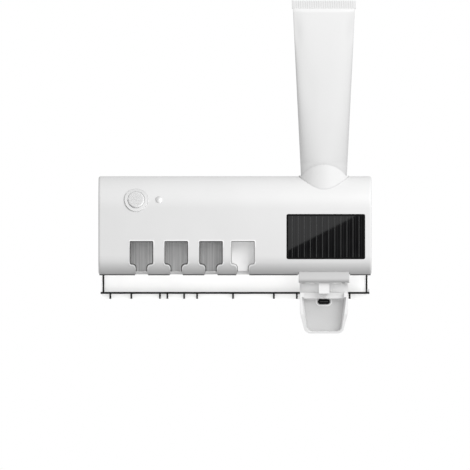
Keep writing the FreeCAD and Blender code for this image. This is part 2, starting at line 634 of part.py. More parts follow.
def rear_case():
    back = rounded_plate("back_plate", ("left_x", "right_x"), ("seam_y", "back_y"), ("bottom_z", "top_z"),
                         "end_radius")
    apron = box("apron", ("left_x + apron_inset", "right_x - apron_inset"), ("seam_y", "back_y"),
                ("apron_z", "bottom_z + wall"))
    rim_span = ("screw_left + 2 * boss_radius", "screw_mid - 2 * boss_radius")
    rim_back = ("seam_y - rim_depth", "back_y")
    nest = "wall + fit_gap"
    upper = box("upper_rim", rim_span, rim_back, (f"top_z - ({nest}) - rim_thickness", f"top_z - ({nest})"))
    lower = box("lower_rim", rim_span, rim_back, (f"bottom_z + {nest}", f"bottom_z + {nest} + rim_thickness"))
    posts = []
    for number, (x, z) in enumerate(CASE_SCREWS):
        posts.append(rod(f"case_post{number}", "y", (x, "boss_back", z), "back_y - boss_back", "post_radius"))
    for number, (x, z) in enumerate(PUMP_SCREWS):
        posts.append(rod(f"pump_post{number}", "y", (x, "hood_rear", z), "back_y - hood_rear", "post_radius"))
    for number, (x, z) in enumerate(STANDS):
        posts.append(rod(f"power_stand{number}", "y", (x, "power_back", z), "back_y - power_back",
                         "stand_radius"))
    for number, x in enumerate(("slot1_x", "slot2_x", "slot3_x")):
        start = (x, "chamber_y + reflector_thickness", "(chamber_low + chamber_top) / 2")
        posts.append(rod(f"reflector_post{number}", "y", start,
                         "back_y - chamber_y - reflector_thickness", "post_radius"))
    holes = []
    for number, (x, z) in enumerate(CASE_SCREWS + PUMP_SCREWS):
        holes.append(rod(f"head_hole{number}", "y", (x, "head_seat", z), "screw_sink + wall",
                         "screw_head_radius + fit_gap"))
        holes.append(rod(f"shank_hole{number}", "y", (x, "head_seat - 3 * post_height", z),
                         "4 * post_height", "screw_radius + fit_gap"))
    slots = []
    for side, sign in (("left", "-"), ("right", "")):
        span = around(f"{sign}hook_spacing / 2", "hook_width / 2 + hook_play")
        height = ("hook_height - hook_rise - 2 * hook_play", "hook_height + hook_stem + hook_play / 3")
        slots.append(box(f"hook_slot_{side}", span, ("seam_y - wall", "back_y + wall"), height))
    return cut("rear_case", join("rear_case_blank", back, apron, upper, lower, *posts), *holes, *slots)


RIBS = range(1, 11)


def hanger_rail():
    """Black ledge on the lower panel, with ribs under it and an upright leg at each end."""
    ledge = box("rail_ledge", ("left_x + rail_inset", "right_x - rail_inset"), ("rail_front", "seam_y"),
                ("ledge_low", "ledge_top"))
    ribs = []
    for number in RIBS:
        corners = [("seam_y", "ledge_low + rail_thickness / 2"),
                   ("rail_front", "ledge_low + rail_thickness / 2"),
                   ("rail_front", "ledge_low - rib_drop / 3"), ("seam_y - rib_foot", "ledge_low - rib_drop"),
                   ("seam_y", "ledge_low - rib_drop")]
        low, high = around(f"left_x + rib{number}_from_left", "rib_thickness / 2")
        ribs.append(prism(f"rail_rib{number}", "YZ", corners, low, high))
    legs = [box(f"rail_leg_{side}", span, ("seam_y - rib_foot", "seam_y"),
                ("ledge_top", "bottom_z - hood_gap"))
            for side, span in (("left", ("left_x + leg_inset", "left_x + leg_inset + rib_thickness")),
                               ("right", ("right_x - leg_inset - rib_thickness", "right_x - leg_inset")))]
    return join("hanger_rail", ledge, *ribs, *legs)


# Front cover: the rounded shell with the hanging slots


def casing(label, inset, rear):
    """The case's rounded block, drawn in by an inset, open to a rear plane."""
    corners = [(rear, f"bottom_z + {inset}"), (f"front_y + {inset}", f"bottom_z + {inset}"),
               (f"front_y + {inset}", f"top_z - ({inset})"), (rear, f"top_z - ({inset})")]
    rounds = [(f"bottom_radius - ({inset})", (1,)), (f"top_radius - ({inset})", (2,))]
    return prism(label, "YZ", corners, f"left_x + {inset}", f"right_x - ({inset})", rounds)


def round_ends(body):
    """Rounds every edge of a casing's two end faces but those on its rear plane."""
    base = body.Tip
    left, right, rear = places.get("left_x"), places.get("right_x"), places.get("seam_y")
    names = []
    for number, edge in enumerate(base.Shape.Edges, start=1):
        spots = [vertex.Point for vertex in edge.Vertexes]
        on_end = any(all(abs(spot.x - end) < NEAR for spot in spots) for end in (left, right))
        if on_end and not all(abs(spot.y - rear) < NEAR for spot in spots):
            names.append(f"Edge{number}")
    fillet = body.newObject("PartDesign::Fillet", f"{body.Name}_ends")
    fillet.Base = (base, names)
    bind(fillet, Radius="end_radius")
    doc.recompute()
    return body


def keyhole(number, rear):
    """Tool that cuts one hanging slot: a wide part, two round shoulders and a neck open at the underside."""
    middle = f"slot{number}_x"
    wide, neck = "slot_width / 2", "neck_width / 2"
    under = "bottom_z - wall"
    corners = [(f"{middle} - {neck}", under), (f"{middle} + {neck}", under),
               (f"{middle} + {neck}", "slot_base"), (f"{middle} + {wide}", "slot_base"),
               (f"{middle} + {wide}", "slot_top"), (f"{middle} - {wide}", "slot_top"),
               (f"{middle} - {wide}", "slot_base"), (f"{middle} - {neck}", "slot_base")]
    rounds = [("neck_flare", (2, 7)), ("slot_corner", (3, 6)), ("slot_top_corner", (4, 5))]
    return prism(f"keyhole{number}", "XZ", corners, "front_y - wall", rear, rounds)


def edge_round(label, radius):
    """A cylinder about the middle of the upper front edge's round."""
    return rod(label, "x", ("left_x", "round_y", "round_z"), "case_width", radius)


def front_cover():
    shell = cut("cover_shell", round_ends(casing("cover_block", "0", "seam_y")),
                casing("cover_hollow", "wall", "back_y"))
    inside = []
    for number, (x, z) in enumerate(CASE_SCREWS):
        inside.append(rod(f"cover_boss{number}", "y", (x, "boss_back - boss_length", z), "boss_length",
                          "boss_radius"))
    inside.append(box("solar_back", ("solar_left - wall", "solar_right + wall"),
                      ("front_y", "solar_floor + solar_backing"),
                      ("solar_low - wall", "solar_high + wall")))
    for number, x in enumerate(CONTROL_STANDS):
        inside.append(slanted_rod(f"control_stand{number}", x, "0", "control_depth", "stand_radius"))
    trimmed = common("cover_inside", join("cover_inside_blank", *inside),
                     casing("cover_limit", "wall / 2", "seam_y"))
    tools = [keyhole(number, "front_y + slot_reach") for number in (1, 2, 3)]
    tools.append(keyhole(4, "pocket_back - pocket_wall"))
    tools.append(rod("cup_hole", "z", ("pump_x", "cup_y", "cup_base"), "2 * cup_sink",
                     "cup_radius + hood_gap"))
    tools.append(box("hood_notch", ("hood_left - hood_gap", "hood_right + hood_gap"),
                     ("hood_front - hood_gap", "hood_rear + hood_gap"),
                     ("bottom_z - wall", "bottom_z + bottom_radius / 2")))
    tools.append(rounded_plate("solar_recess", ("solar_left - solar_gap", "solar_right + solar_gap"),
                               ("front_y - wall", "solar_floor"),
                               ("solar_low - solar_gap", "solar_high + solar_gap"),
                               "solar_corner + solar_gap"))
    tools.append(rod("solar_lead_hole", "y", ("solar_exit", "front_y", "solar_middle"),
                     "solar_sink + 2 * solar_backing", "2 * lead_radius"))
    bezel_room = slanted_rod("bezel_room", "button_x", "-bezel_reach", "2 * bezel_reach",
                             "bezel_radius + fit_gap")
    tools.append(cut("bezel_seat", bezel_room, edge_round("bezel_seat_floor", "top_radius - bezel_sink")))
    tools.append(slanted_rod("bezel_hole", "button_x", "-bezel_reach", "3 * bezel_reach",
                             "sleeve_radius + fit_gap"))
    tools.append(slanted_rod("lens_hole", "lens_x", "-bezel_reach", "3 * bezel_reach",
                             "lens_radius + press_gap"))
    for number, x in enumerate(CONTROL_STANDS):
        tools.append(slanted_rod(f"control_pilot{number}", x, "control_depth - 2 * board_screw_length",
                                 "2 * board_screw_length", "board_screw_radius + press_gap"))
    for number, (x, z) in enumerate(CASE_SCREWS):
        tools.append(rod(f"pilot{number}", "y", (x, "head_seat - screw_length", z), "screw_length",
                         "screw_radius + press_gap"))
    port = (around("socket_y", "socket_height / 2 + port_gap"),
            around("socket_z", "socket_width / 2 + port_gap"))
    tools.append(box("charging_port", ("left_x - wall", "left_x + 1.5 * wall"), *port))
    rim = (around("socket_y", "socket_height / 2 + flap_margin + flap_gap"),
           around("socket_z", "socket_width / 2 + flap_margin + flap_gap"))
    tools.append(box("charging_recess", ("left_x - wall", "left_x + flap_thickness"), *rim))
    return cut("front_cover", join("cover_blank", shell, trimmed), *tools)


def case_screws():
    """Screws from the back: six into the cover's bosses and two into the pump hood's."""
    screws = []
    for number, (x, z) in enumerate(CASE_SCREWS + PUMP_SCREWS):
        head = rod(f"case_screw_head{number}", "y", (x, "head_seat", z), "screw_head", "screw_head_radius")
        shank = rod(f"case_screw_shank{number}", "y", (x, "head_seat - screw_length + screw_head / 2", z),
                    "screw_length", "screw_radius")
        screws.append(join(f"case_screw{number}", head, shank))
    return group("case_screws", *screws)


# Button, sensor and control board, all square to the rounded upper edge

CONTROL_MIDDLE = "(button_x + lens_x) / 2"
CONTROL_STANDS = [f"{CONTROL_MIDDLE} {sign} (control_width / 2 - stand_inset)" for sign in "-+"]


def button_bezel():
    """Ring that follows the rounded edge, with a sleeve through the cover."""
    disc = slanted_rod("bezel_outer", "button_x", "-bezel_reach", "2 * bezel_reach", "bezel_radius")
    ring = cut("bezel_ring", disc, edge_round("bezel_floor", "top_radius - bezel_sink + press_gap"))
    sleeve = slanted_rod("bezel_tube", "button_x", "-bezel_reach / 2", "bezel_reach / 2 + sleeve_depth",
                         "sleeve_radius")
    crown = common("bezel_crown", join("bezel_blank", ring, sleeve),
                   edge_round("bezel_skin", "top_radius + bezel_rise"))
    return cut("button_bezel", crown,
               slanted_rod("bezel_inner", "button_x", "-2 * bezel_reach", "4 * bezel_reach", "bezel_bore"))


def rounded_rim(label, piece, centre, radius):
    """A fillet on the circular edge of a piece that is centred on a point of the button's axis."""
    doc.recompute()
    angle = math.radians(sizes.get("button_angle"))
    depth = Vector(0, math.cos(angle), -math.sin(angle)) * centre
    spot = Vector(places.get("button_x"), places.get("skin_y"), places.get("skin_z")) + depth
    names = [number for number, edge in enumerate(piece.Shape.Edges, start=1)
             if isinstance(edge.Curve, Part.Circle) and edge.Curve.Center.distanceToPoint(spot) < NEAR]
    fillet = doc.addObject("Part::Fillet", label)
    fillet.Base = piece
    fillet.Edges = [(number, radius, radius) for number in names]
    return fillet


def button_cap():
    """Cap with a collar that stops it under the sleeve and a stem over the switch."""
    blank = slanted_rod("cap_blank", "button_x", "-button_rise", "button_rise + cap_depth", "button_radius")
    cap = rounded_rim("cap_crown", blank, -sizes.get("button_rise"), sizes.get("button_round"))
    collar = slanted_rod("cap_collar", "button_x", "cap_depth - cap_collar_height", "cap_collar_height",
                         "sleeve_radius")
    stem = slanted_rod("cap_stem", "button_x", "cap_depth - cap_collar_height",
                       "stem_depth - cap_depth + cap_collar_height", "plunger_radius")
    return join("button_cap", cap, collar, stem)


def sensor_lens():
    """Small dome on a stem."""
    dome = doc.addObject("Part::Sphere", "lens_ball")
    bind(dome, Radius="lens_ball_radius")
    put(dome, ("lens_x", *slanted("lens_ball_radius - lens_rise")))
    stem = slanted_rod("lens_stem", "lens_x", "-lens_rise", "lens_rise + lens_depth", "lens_radius")
    crown = common("lens_crown", stem, dome)
    shank = slanted_rod("lens_shank", "lens_x", "0", "lens_depth", "lens_radius")
    return join("sensor_lens", crown, shank)


def control_board():
    board = slanted_box("control_blank", CONTROL_MIDDLE, "control_width", "control_height", "control_depth",
                        "board_thickness")
    holes = [slanted_rod(f"control_hole{number}", x, "control_depth - board_thickness", "3 * board_thickness",
                         "board_screw_radius + press_gap")
             for number, x in enumerate(CONTROL_STANDS)]
    return cut("control_board", board, *holes)


def board_screws():
    screws = []
    for number, x in enumerate(CONTROL_STANDS):
        head = slanted_rod(f"board_screw_head{number}", x, "control_depth + board_thickness",
                           "board_screw_radius", "2 * board_screw_radius")
        shank = slanted_rod(f"board_screw_shank{number}", x,
                            "control_depth + board_thickness - board_screw_length", "board_screw_length",
                            "board_screw_radius")
        screws.append(join(f"board_screw{number}", head, shank))
    return group("board_screws", *screws)


def tact_switch():
    body = slanted_box("switch_body", "button_x", "switch_size", "switch_size",
                       "control_depth - switch_height", "switch_height")
    plunger = slanted_rod("switch_plunger", "button_x", "control_depth - switch_height - plunger_height",
                          "2 * plunger_height", "plunger_radius")
    return join("tact_switch", body, plunger)


def motion_sensor():
    return slanted_rod("motion_sensor", "lens_x", "lens_depth + fit_gap",
                       "control_depth - lens_depth - fit_gap", "sensor_radius")


# Solar panel: a board in a recess, cell strips on it and a black border round them

CELL_LINES = 12


def solar_board():
    return rounded_plate("solar_board", ("solar_left", "solar_right"), ("cell_back", "solar_floor"),
                         ("solar_low", "solar_high"), "solar_corner")


def solar_cells():
    middle = "(solar_left + solar_right) / 2"
    lines = [f"{middle} + ({number} - ({CELL_LINES} - 1) / 2) * cell_pitch" for number in range(CELL_LINES)]
    lows = ["solar_left + solar_border"] + [f"{line} + cell_gap / 2" for line in lines]
    highs = [f"{line} - cell_gap / 2" for line in lines] + ["solar_right - solar_border"]
    strips = [box(f"cell{number}", span, ("cell_back - cell_thickness", "cell_back"),
                  ("solar_low + solar_border", "solar_high - solar_border"))
              for number, span in enumerate(zip(lows, highs))]
    return group("solar_cells", *strips)


def solar_frame():
    outer = rounded_plate("border_outer", ("solar_left", "solar_right"),
                          ("cell_back - cell_thickness - border_rise", "cell_back"),
                          ("solar_low", "solar_high"), "solar_corner")
    inner = box("border_inner", ("solar_left + solar_border", "solar_right - solar_border"),
                ("front_y - wall", "solar_floor"), ("solar_low + solar_border", "solar_high - solar_border"))
    return cut("solar_frame", outer, inner)


# Tube cup and the tube that stands in it


def tube_cup():
    """Round cup whose rim is an arch seen from the front, with a funnel seat for the tube's shoulder."""
    outer = rod("cup_outer", "z", ("pump_x", "cup_y", "cup_base"), "cup_top - cup_base", "cup_radius")
    funnel = cone("cup_funnel", ("pump_x", "cup_y", "seat_z"), "shoulder_height", "shoulder_neck",
                  "tube_radius")
    bore = rod("cup_inner", "z", ("pump_x", "cup_y", "seat_z + shoulder_height"), "cup_top - seat_z",
               "cup_bore")
    throat = rod("cup_throat", "z", ("pump_x", "cup_y", "cup_base - cup_floor"), "3 * cup_floor",
                 "neck_radius + seal_gap + press_gap")
    above = box("above_rim", around("pump_x", "2 * cup_radius"), around("cup_y", "2 * cup_radius"),
                ("top_z + cup_rim", "cup_top + cup_wall"))
    arch = rod("rim_arch_rod", "y", ("pump_x", "cup_y - 2 * cup_radius", "cup_top - rim_arch"),
               "4 * cup_radius", "rim_arch")
    return cut("tube_cup", outer, funnel, bore, throat, cut("rim_waste", above, arch))


def ellipse(label, z, half_width, half_depth):
    """A flat ellipse on the tube's axis."""
    ring = doc.addObject("Part::Ellipse", label)
    bind(ring, MajorRadius=half_width, MinorRadius=half_depth)
    return put(ring, ("pump_x", "cup_y", z))


def tube_sleeve():
    """Round at the shoulder and flat at the top, with a wider crimp."""
    loft = doc.addObject("Part::Loft", "sleeve_loft")
    loft.Sections = [ellipse("sleeve_foot", "tube_z", "tube_radius", "tube_radius"),
                     ellipse("sleeve_head", "crimp_z", "tube_flat", "crimp_thickness / 2")]
    loft.Solid = True
    crimp = box("crimp", around("pump_x", "crimp_half_width"), around("cup_y", "crimp_thickness / 2"),
                ("crimp_z", "crimp_z + crimp_height"))
    return join("tube_sleeve", loft, crimp)


def tube_head():
    shoulder = cone("head_cone", ("pump_x", "cup_y", "tube_z - shoulder_height"), "shoulder_height",
                    "shoulder_neck", "tube_radius")
    neck = rod("head_neck", "z", ("pump_x", "cup_y", "tube_z - shoulder_height - neck_length"),
               "neck_length + shoulder_height / 2", "neck_radius")
    return join("tube_head", shoulder, neck)


# Pump: hood, body with tower and chamber, piston, nozzle


def hood():
    """Open box under the flange that carries the lever's pin."""
    corners = [("hood_front", "hood_low"), ("hood_rear", "hood_low"), ("hood_rear", "hood_top"),
               ("hood_front", "hood_top")]
    block = prism("hood_block", "YZ", corners, "hood_left", "hood_right", [("hood_round", (0,))])
    hollow = box("hood_hollow", ("hood_left + hood_wall", "hood_right - hood_wall"),
                 ("hood_front + hood_front_wall", "hood_rear - hood_wall"),
                 ("hood_low - hood_wall", "hood_top + hood_wall"))
    bosses = [rod(f"hood_boss{number}", "y", (x, "hood_rear - pump_boss", z), "pump_boss", "post_radius")
              for number, (x, z) in enumerate(PUMP_SCREWS)]
    pilots = [rod(f"hood_pilot{number}", "y", (x, "hood_rear - 2 * pump_boss", z), "3 * pump_boss",
                  "screw_radius + press_gap")
              for number, (x, z) in enumerate(PUMP_SCREWS)]
    pin_hole = rod("hood_pin_hole", "x", ("hood_left - hood_wall", "pivot_y", "pivot_z"),
                   "hood_width + 2 * hood_wall", "pin_radius + press_gap")
    return cut("hood", join("hood_blank", cut("hood_shell", block, hollow), *bosses), pin_hole, *pilots)


def pump_body():
    """Flange on the hood, chamber under it, inlet tower and gallery above it, outlet spigot below."""
    axis = ("pump_x", "cup_y")
    flange = box("pump_flange", ("hood_left", "hood_right"), ("hood_front + hood_wall", "hood_rear"),
                 ("hood_top", "flange_top"))
    chamber = rod("pump_chamber", "y", ("pump_x", "bore_front - bore_end", "piston_z"),
                  "head_rear - bore_front + bore_end", "chamber_radius")
    tower = rod("pump_tower", "z", (*axis, "hood_top"), "cup_base - hood_top", "tower_radius")
    cap = rod("tower_disc", "z", (*axis, "cup_base - tower_cap"), "tower_cap", "tower_cap_radius")
    block = box("gallery_block", around("pump_x", "gallery_radius + gallery_wall"),
                ("gallery_front", "cup_y"), ("hood_top", "gallery_z + gallery_radius + gallery_wall"))
    spigot = rod("pump_spigot", "z", ("pump_x", "port_y", "spigot_low"), "piston_z - spigot_low",
                 "spigot_radius")
    tools = [
        rod("chamber_bore", "y", ("pump_x", "bore_front", "piston_z"), "head_rear - bore_front + bore_wall",
            "bore_radius"),
        rod("port_bore", "z", ("pump_x", "port_y", "spigot_low - bore_wall"),
            "gallery_z - spigot_low + bore_wall", "port_radius"),
        rod("gallery_bore", "y", ("pump_x", "gallery_front - bore_wall", "gallery_z"),
            "cup_y - gallery_front + bore_wall", "gallery_radius"),
        rod("tower_bore", "z", (*axis, "gallery_z"), "cup_base - gallery_z", "gallery_radius"),
        rod("valve_bore", "z", (*axis, "valve_z"), "cup_base - valve_z", "valve_radius + press_gap"),
        rod("seal_bore", "z", (*axis, "seal_low"), "seal_height + cup_floor", "seal_radius + press_gap"),
    ]
    return cut("pump_body", join("pump_blank", flange, chamber, tower, cap, block, spigot), *tools)


def gallery_plug():
    return rod("gallery_plug", "y", ("pump_x", "gallery_front", "gallery_z"), "plug_length",
               "gallery_radius - press_gap")


def inlet_seal():
    ring = rod("seal_outer", "z", ("pump_x", "cup_y", "seal_low"), "seal_height", "seal_radius")
    hole = rod("seal_inner", "z", ("pump_x", "cup_y", "seal_low - wall"), "seal_height + 2 * wall",
               "neck_radius + seal_gap")
    return cut("inlet_seal", ring, hole)


def inlet_valve():
    """Soft disc with a slit, on a ledge under the seal."""
    disc = rod("valve_disc", "z", ("pump_x", "cup_y", "valve_z"), "valve_thickness", "valve_radius")
    slit = box("valve_slit", around("pump_x", "gallery_radius"), around("cup_y", "tip_slit / 2"),
               ("valve_z - wall", "valve_z + wall"))
    return cut("inlet_valve", disc, slit)


def outlet_nozzle():
    block = box("nozzle_block", around("pump_x", "nozzle_width / 2"), around("port_y", "nozzle_half_depth"),
                ("nozzle_low", "nozzle_top"))
    socket = rod("nozzle_socket", "z", ("pump_x", "port_y", "spigot_low"), "2 * nozzle_grip",
                 "spigot_radius + press_gap")
    bore = rod("nozzle_bore", "z", ("pump_x", "port_y", "nozzle_low - wall"), "nozzle_top - nozzle_low",
               "port_radius")
    mouth = rod("nozzle_mouth", "z", ("pump_x", "port_y", "nozzle_low - wall"), "tip_length + wall",
                "tip_radius + press_gap")
    return cut("outlet_nozzle", block, socket, bore, mouth)


def nozzle_tip():
    plug = rod("tip_plug", "z", ("pump_x", "port_y", "nozzle_low"), "tip_length", "tip_radius")
    slit = box("tip_slit_tool", around("pump_x", "port_radius"), around("port_y", "tip_slit / 2"),
               ("nozzle_low - wall", "nozzle_low + tip_length + wall"))
    return cut("nozzle_tip", plug, slit)


def lever_pin():
    return rod("lever_pin", "x", ("hood_left", "pivot_y", "pivot_z"), "hood_width", "pin_radius")


def piston():
    face = "bore_radius - piston_play"
    head = rod("piston_head", "y", ("pump_x", "head_front", "piston_z"), "piston_length", face)
    groove = cut("piston_groove", rod("groove_outer", "y", ("pump_x", "ring_front - press_gap", "piston_z"),
                                      "ring_width + 2 * press_gap", "bore_radius + bore_wall"),
                 rod("groove_inner", "y", ("pump_x", "head_front", "piston_z"), "piston_length",
                     f"{face} - ring_depth - press_gap"))
    stem = rod("piston_rod", "y", ("pump_x", "head_rear", "piston_z"), "rod_length", "rod_radius")
    button = rod("piston_button", "y", ("pump_x", "rod_rear - rod_button", "piston_z"), "rod_button",
                 "rod_button_radius")
    return join("piston", cut("piston_grooved", head, groove), stem, button)


def piston_seal():
    outer = rod("ring_outer", "y", ("pump_x", "ring_front", "piston_z"), "ring_width",
                "bore_radius - piston_play")
    inner = rod("ring_inner", "y", ("pump_x", "ring_front - ring_width", "piston_z"), "3 * ring_width",
                "bore_radius - piston_play - ring_depth")
    return cut("piston_seal", outer, inner)


def biarc(start, leaving, end, arriving):
    """Two tangent arcs from a point and direction to another point and direction."""
    across = end - start
    along = across.dot(leaving + arriving)
    bend = 2 * (1 - leaving.dot(arriving))
    reach = (math.sqrt(along ** 2 + bend * across.dot(across)) - along) / bend
    meeting = (start + end + (leaving - arriving) * reach) / 2
    halves = ((start, start + leaving * reach, meeting), (meeting, end - arriving * reach, end))
    arcs = []
    for first, corner, last in halves:
        chord_middle = (first + last) / 2
        slant = (corner - first).getAngle(last - first)
        middle = chord_middle + (corner - chord_middle) * (math.tan(slant / 2) / math.tan(slant))
        arcs.append(Part.Arc(first, middle, last).toShape())
    return arcs


def tube_along(label, path, start, direction, radius):
    """A round tube along a wire, its volume set against section times length."""
    section = Part.Wire([Part.Circle(start, direction, radius).toShape()])
    tube = doc.addObject("Part::Feature", label)
    tube.Shape = path.makePipeShell([section], True, False)
    share = tube.Shape.Volume / (math.pi * radius ** 2 * path.Length)
    print(f"{label}: volume over section times length is {share:.4f}")
    return tube


QUARTERS = 4


def return_spring():
    """Open coil between the chamber's end and the piston, in quarter turns."""
    radius, wire = sizes.get("spring_radius"), sizes.get("spring_wire")
    quarter = math.tau / QUARTERS
    count = round(sizes.get("spring_turns") * QUARTERS)
    climb = (places.get("spring_length") - wire) / (count * quarter)
    front = Vector(places.get("pump_x"), places.get("bore_front") + sizes.get("spring_gap") + wire / 2,
                   places.get("piston_z"))
    turns = [number * quarter for number in range(count + 1)]
    points = [front + Vector(radius * math.cos(turn), climb * turn, radius * math.sin(turn))
              for turn in turns]
    ways = [Vector(-radius * math.sin(turn), climb, radius * math.cos(turn)).normalize()
            for turn in turns]
    arcs = []
    for number in range(count):
        arcs += biarc(points[number], ways[number], points[number + 1], ways[number + 1])
    least = min(one.distanceToPoint(other) for one, other in zip(points, points[QUARTERS:])) - wire
    print(f"return_spring: least gap between turns {least:.2f} mm")
    return tube_along("return_spring", Part.Wire(arcs), points[0], ways[0], wire / 2)


# Push lever: a scoop on a pin, with an arm behind the piston


def push_lever():
    knee = "lever_top - lever_straight"
    outline = [("pump_x - lever_foot", "lever_low"), ("pump_x + lever_foot", "lever_low"),
               ("pump_x + lever_half_width", knee), ("pump_x + lever_half_width", "lever_top"),
               ("pump_x - lever_half_width", "lever_top"), ("pump_x - lever_half_width", knee)]
    blank = prism("lever_blank", "XZ", outline, "lever_front", "lever_back",
                  [("lever_knee", (2, 5)), ("lever_corner", (0, 1))])
    lip_top = "lever_low + cup_lip"
    hollow = [("pump_x - cup_half_foot", lip_top), ("pump_x + cup_half_foot", lip_top),
              ("pump_x + cup_half_top", "band_low"), ("pump_x - cup_half_top", "band_low")]
    scoop = prism("lever_scoop", "XZ", hollow, "lever_front - lever_wall", "lever_face",
                  [("cup_corner", (0, 1))], "cup_draft")
    recess = box("lever_recess", around("pump_x", "2 * lever_half_width"),
                 ("lever_front - lever_wall", "lever_face"), ("band_top", "lever_top + lever_wall"))
    over_band = box("lever_over_band", around("pump_x", "cup_half_top"),
                    ("lever_front - lever_wall", "lever_face - band_depth"), ("band_low", "band_top"))
    slope = prism("lever_slope_tool", "YZ",
                  [("lever_front - lever_wall", "lever_low + slope_height"),
                   ("lever_front - lever_wall", "lever_low - lever_wall"),
                   ("lever_front + lever_slope", "lever_low - lever_wall")],
                  "pump_x - 2 * lever_half_width", "pump_x + 2 * lever_half_width")
    pad_hole = stadium("push_pad_hole", "pump_x", "push_pad_z", "push_pad_width + 2 * press_gap",
                       "push_pad_height + 2 * press_gap", "lever_face - lever_wall",
                       "lever_back + lever_wall")
    ears = []
    for side, span in (("left", ("pump_x - ear_outer", "pump_x - ear_inner")),
                       ("right", ("pump_x + ear_inner", "pump_x + ear_outer"))):
        corners = [("lever_face", "lever_top"),
                   ("pivot_y - barrel_radius / 2", "pivot_z + barrel_radius / 2"),
                   ("pivot_y + barrel_radius / 2", "pivot_z - barrel_radius / 2"),
                   ("lever_back", "band_low"), ("lever_face", "band_low")]
        ears.append(prism(f"lever_ear_{side}", "YZ", corners, *span))
    barrel = rod("lever_barrel", "x", ("pump_x - ear_outer", "pivot_y", "pivot_z"), "2 * ear_outer",
                 "barrel_radius")
    arm = box("lever_arm", around("pump_x", "arm_half"), around("pivot_y", "arm_thickness / 2"),
              ("pivot_z", "piston_z"))
    tip = rod("lever_tip", "x", ("pump_x - arm_half", "pivot_y", "piston_z"), "2 * arm_half", "arm_tip")
    pin_bore = rod("lever_pin_bore", "x", ("pump_x - 2 * ear_outer", "pivot_y", "pivot_z"), "4 * ear_outer",
                   "pin_radius + pin_play")
    shell = cut("lever_shell", blank, scoop, recess, over_band, slope)
    return cut("push_lever", join("lever_whole", shell, *ears, barrel, arm, tip), pad_hole, pin_bore)


def push_pad():
    """Oval rubber pad through the lever's plate, with a wider flange behind it."""
    face = stadium("push_pad_face", "pump_x", "push_pad_z", "push_pad_width", "push_pad_height",
                   "lever_face - push_pad_rise", "lever_back")
    flange = stadium("push_pad_flange", "pump_x", "push_pad_z", "push_pad_width + lever_wall",
                     "push_pad_height + lever_wall", "lever_back", "lever_back + push_pad_rise")
    return join("push_pad", face, flange)


# Hanging chamber: reflector, lamp and its holders, and the blind pocket of the last slot


def reflector():
    span = ("chamber_left", "chamber_right")
    depth = ("front_y", "chamber_y + reflector_thickness")
    height = ("chamber_low", "chamber_top + reflector_thickness")
    sheets = [
        box("reflector_back", span, ("chamber_y", "chamber_y + reflector_thickness"), height),
        box("reflector_top", span, depth, ("chamber_top", "chamber_top + reflector_thickness")),
        box("reflector_left", ("chamber_left", "chamber_left + reflector_thickness"), depth, height),
        box("reflector_right", ("chamber_right - reflector_thickness", "chamber_right"), depth, height),
    ]
    return common("reflector", join("reflector_sheets", *sheets),
                  casing("reflector_limit", "wall + reflector_lift", "seam_y"))


def lamp(label, grow):
    """The lamp tube, grown by an amount."""
    return rod(label, "x", ("chamber_left + lamp_inset", "lamp_y", "lamp_z"),
               "chamber_right - chamber_left - 2 * lamp_inset", f"lamp_radius + {grow}")


def lamp_holders():
    holders = []
    for side, low in (("left", "chamber_left + lamp_inset - holder_wall"),
                      ("right", "chamber_right - lamp_inset + holder_wall - holder_width")):
        block = box(f"holder_block_{side}", (low, f"{low} + holder_width"),
                    around("lamp_y", "lamp_radius + holder_wall"),
                    ("lamp_z - lamp_radius - holder_wall", "chamber_top"))
        holders.append(cut(f"holder_{side}", block, lamp(f"holder_bore_{side}", "press_gap")))
    return group("lamp_holders", *holders)


def blind_pocket():
    outer = box("pocket_outer", around("slot4_x", "pocket_half"), ("front_y", "pocket_back"),
                ("bottom_z", "slot_top + pocket_margin"))
    hollow = box("pocket_hollow", around("slot4_x", "pocket_half - pocket_wall"),
                 ("front_y - wall", "pocket_back - pocket_wall"),
                 ("bottom_z + wall + pocket_wall", "slot_top + pocket_margin - pocket_wall"))
    block = common("pocket_block", outer, casing("pocket_limit", "wall + press_gap", "seam_y"))
    return cut("blind_pocket", block, hollow)


# Power: board, charging socket with its rubber plug, battery and leads


def power_board():
    return box("power_board", ("power_left", "power_right"), ("power_front", "power_back"),
               ("power_low", "power_top"))


def usb_socket():
    low = "left_x + wall + fit_gap"
    shell = box("socket_shell", (low, f"{low} + socket_length"), around("socket_y", "socket_height / 2"),
                around("socket_z", "socket_width / 2"))
    mouth = box("socket_mouth", ("left_x", f"{low} + socket_length - socket_wall"),
                around("socket_y", "socket_height / 2 - socket_wall"),
                around("socket_z", "socket_width / 2 - socket_wall"))
    return cut("usb_socket", shell, mouth)


def usb_plug():
    """Rubber plug: a flap flush with the case's end and a tongue in the port."""
    flap = box("plug_flap", ("left_x", "left_x + flap_thickness - fit_gap"),
               around("socket_y", "socket_height / 2 + flap_margin"),
               around("socket_z", "socket_width / 2 + flap_margin"))
    tongue = box("plug_tongue", ("left_x", "left_x + wall"), around("socket_y", "socket_height / 2"),
                 around("socket_z", "socket_width / 2"))
    return join("usb_plug", flap, tongue)


def battery():
    return rod("battery", "x", ("-battery_length / 2", "battery_y", "battery_z"), "battery_length",
               "battery_radius")


def battery_cradle():
    block = box("cradle_block", around("0", "cradle_length / 2"),
                ("battery_y - battery_radius / 3", "seam_y"),
                around("battery_z", "battery_radius + cradle_wall"))
    room = rod("cradle_room", "x", ("-battery_length", "battery_y", "battery_z"), "2 * battery_length",
               "battery_radius + cradle_play")
    return cut("battery_cradle", block, room)


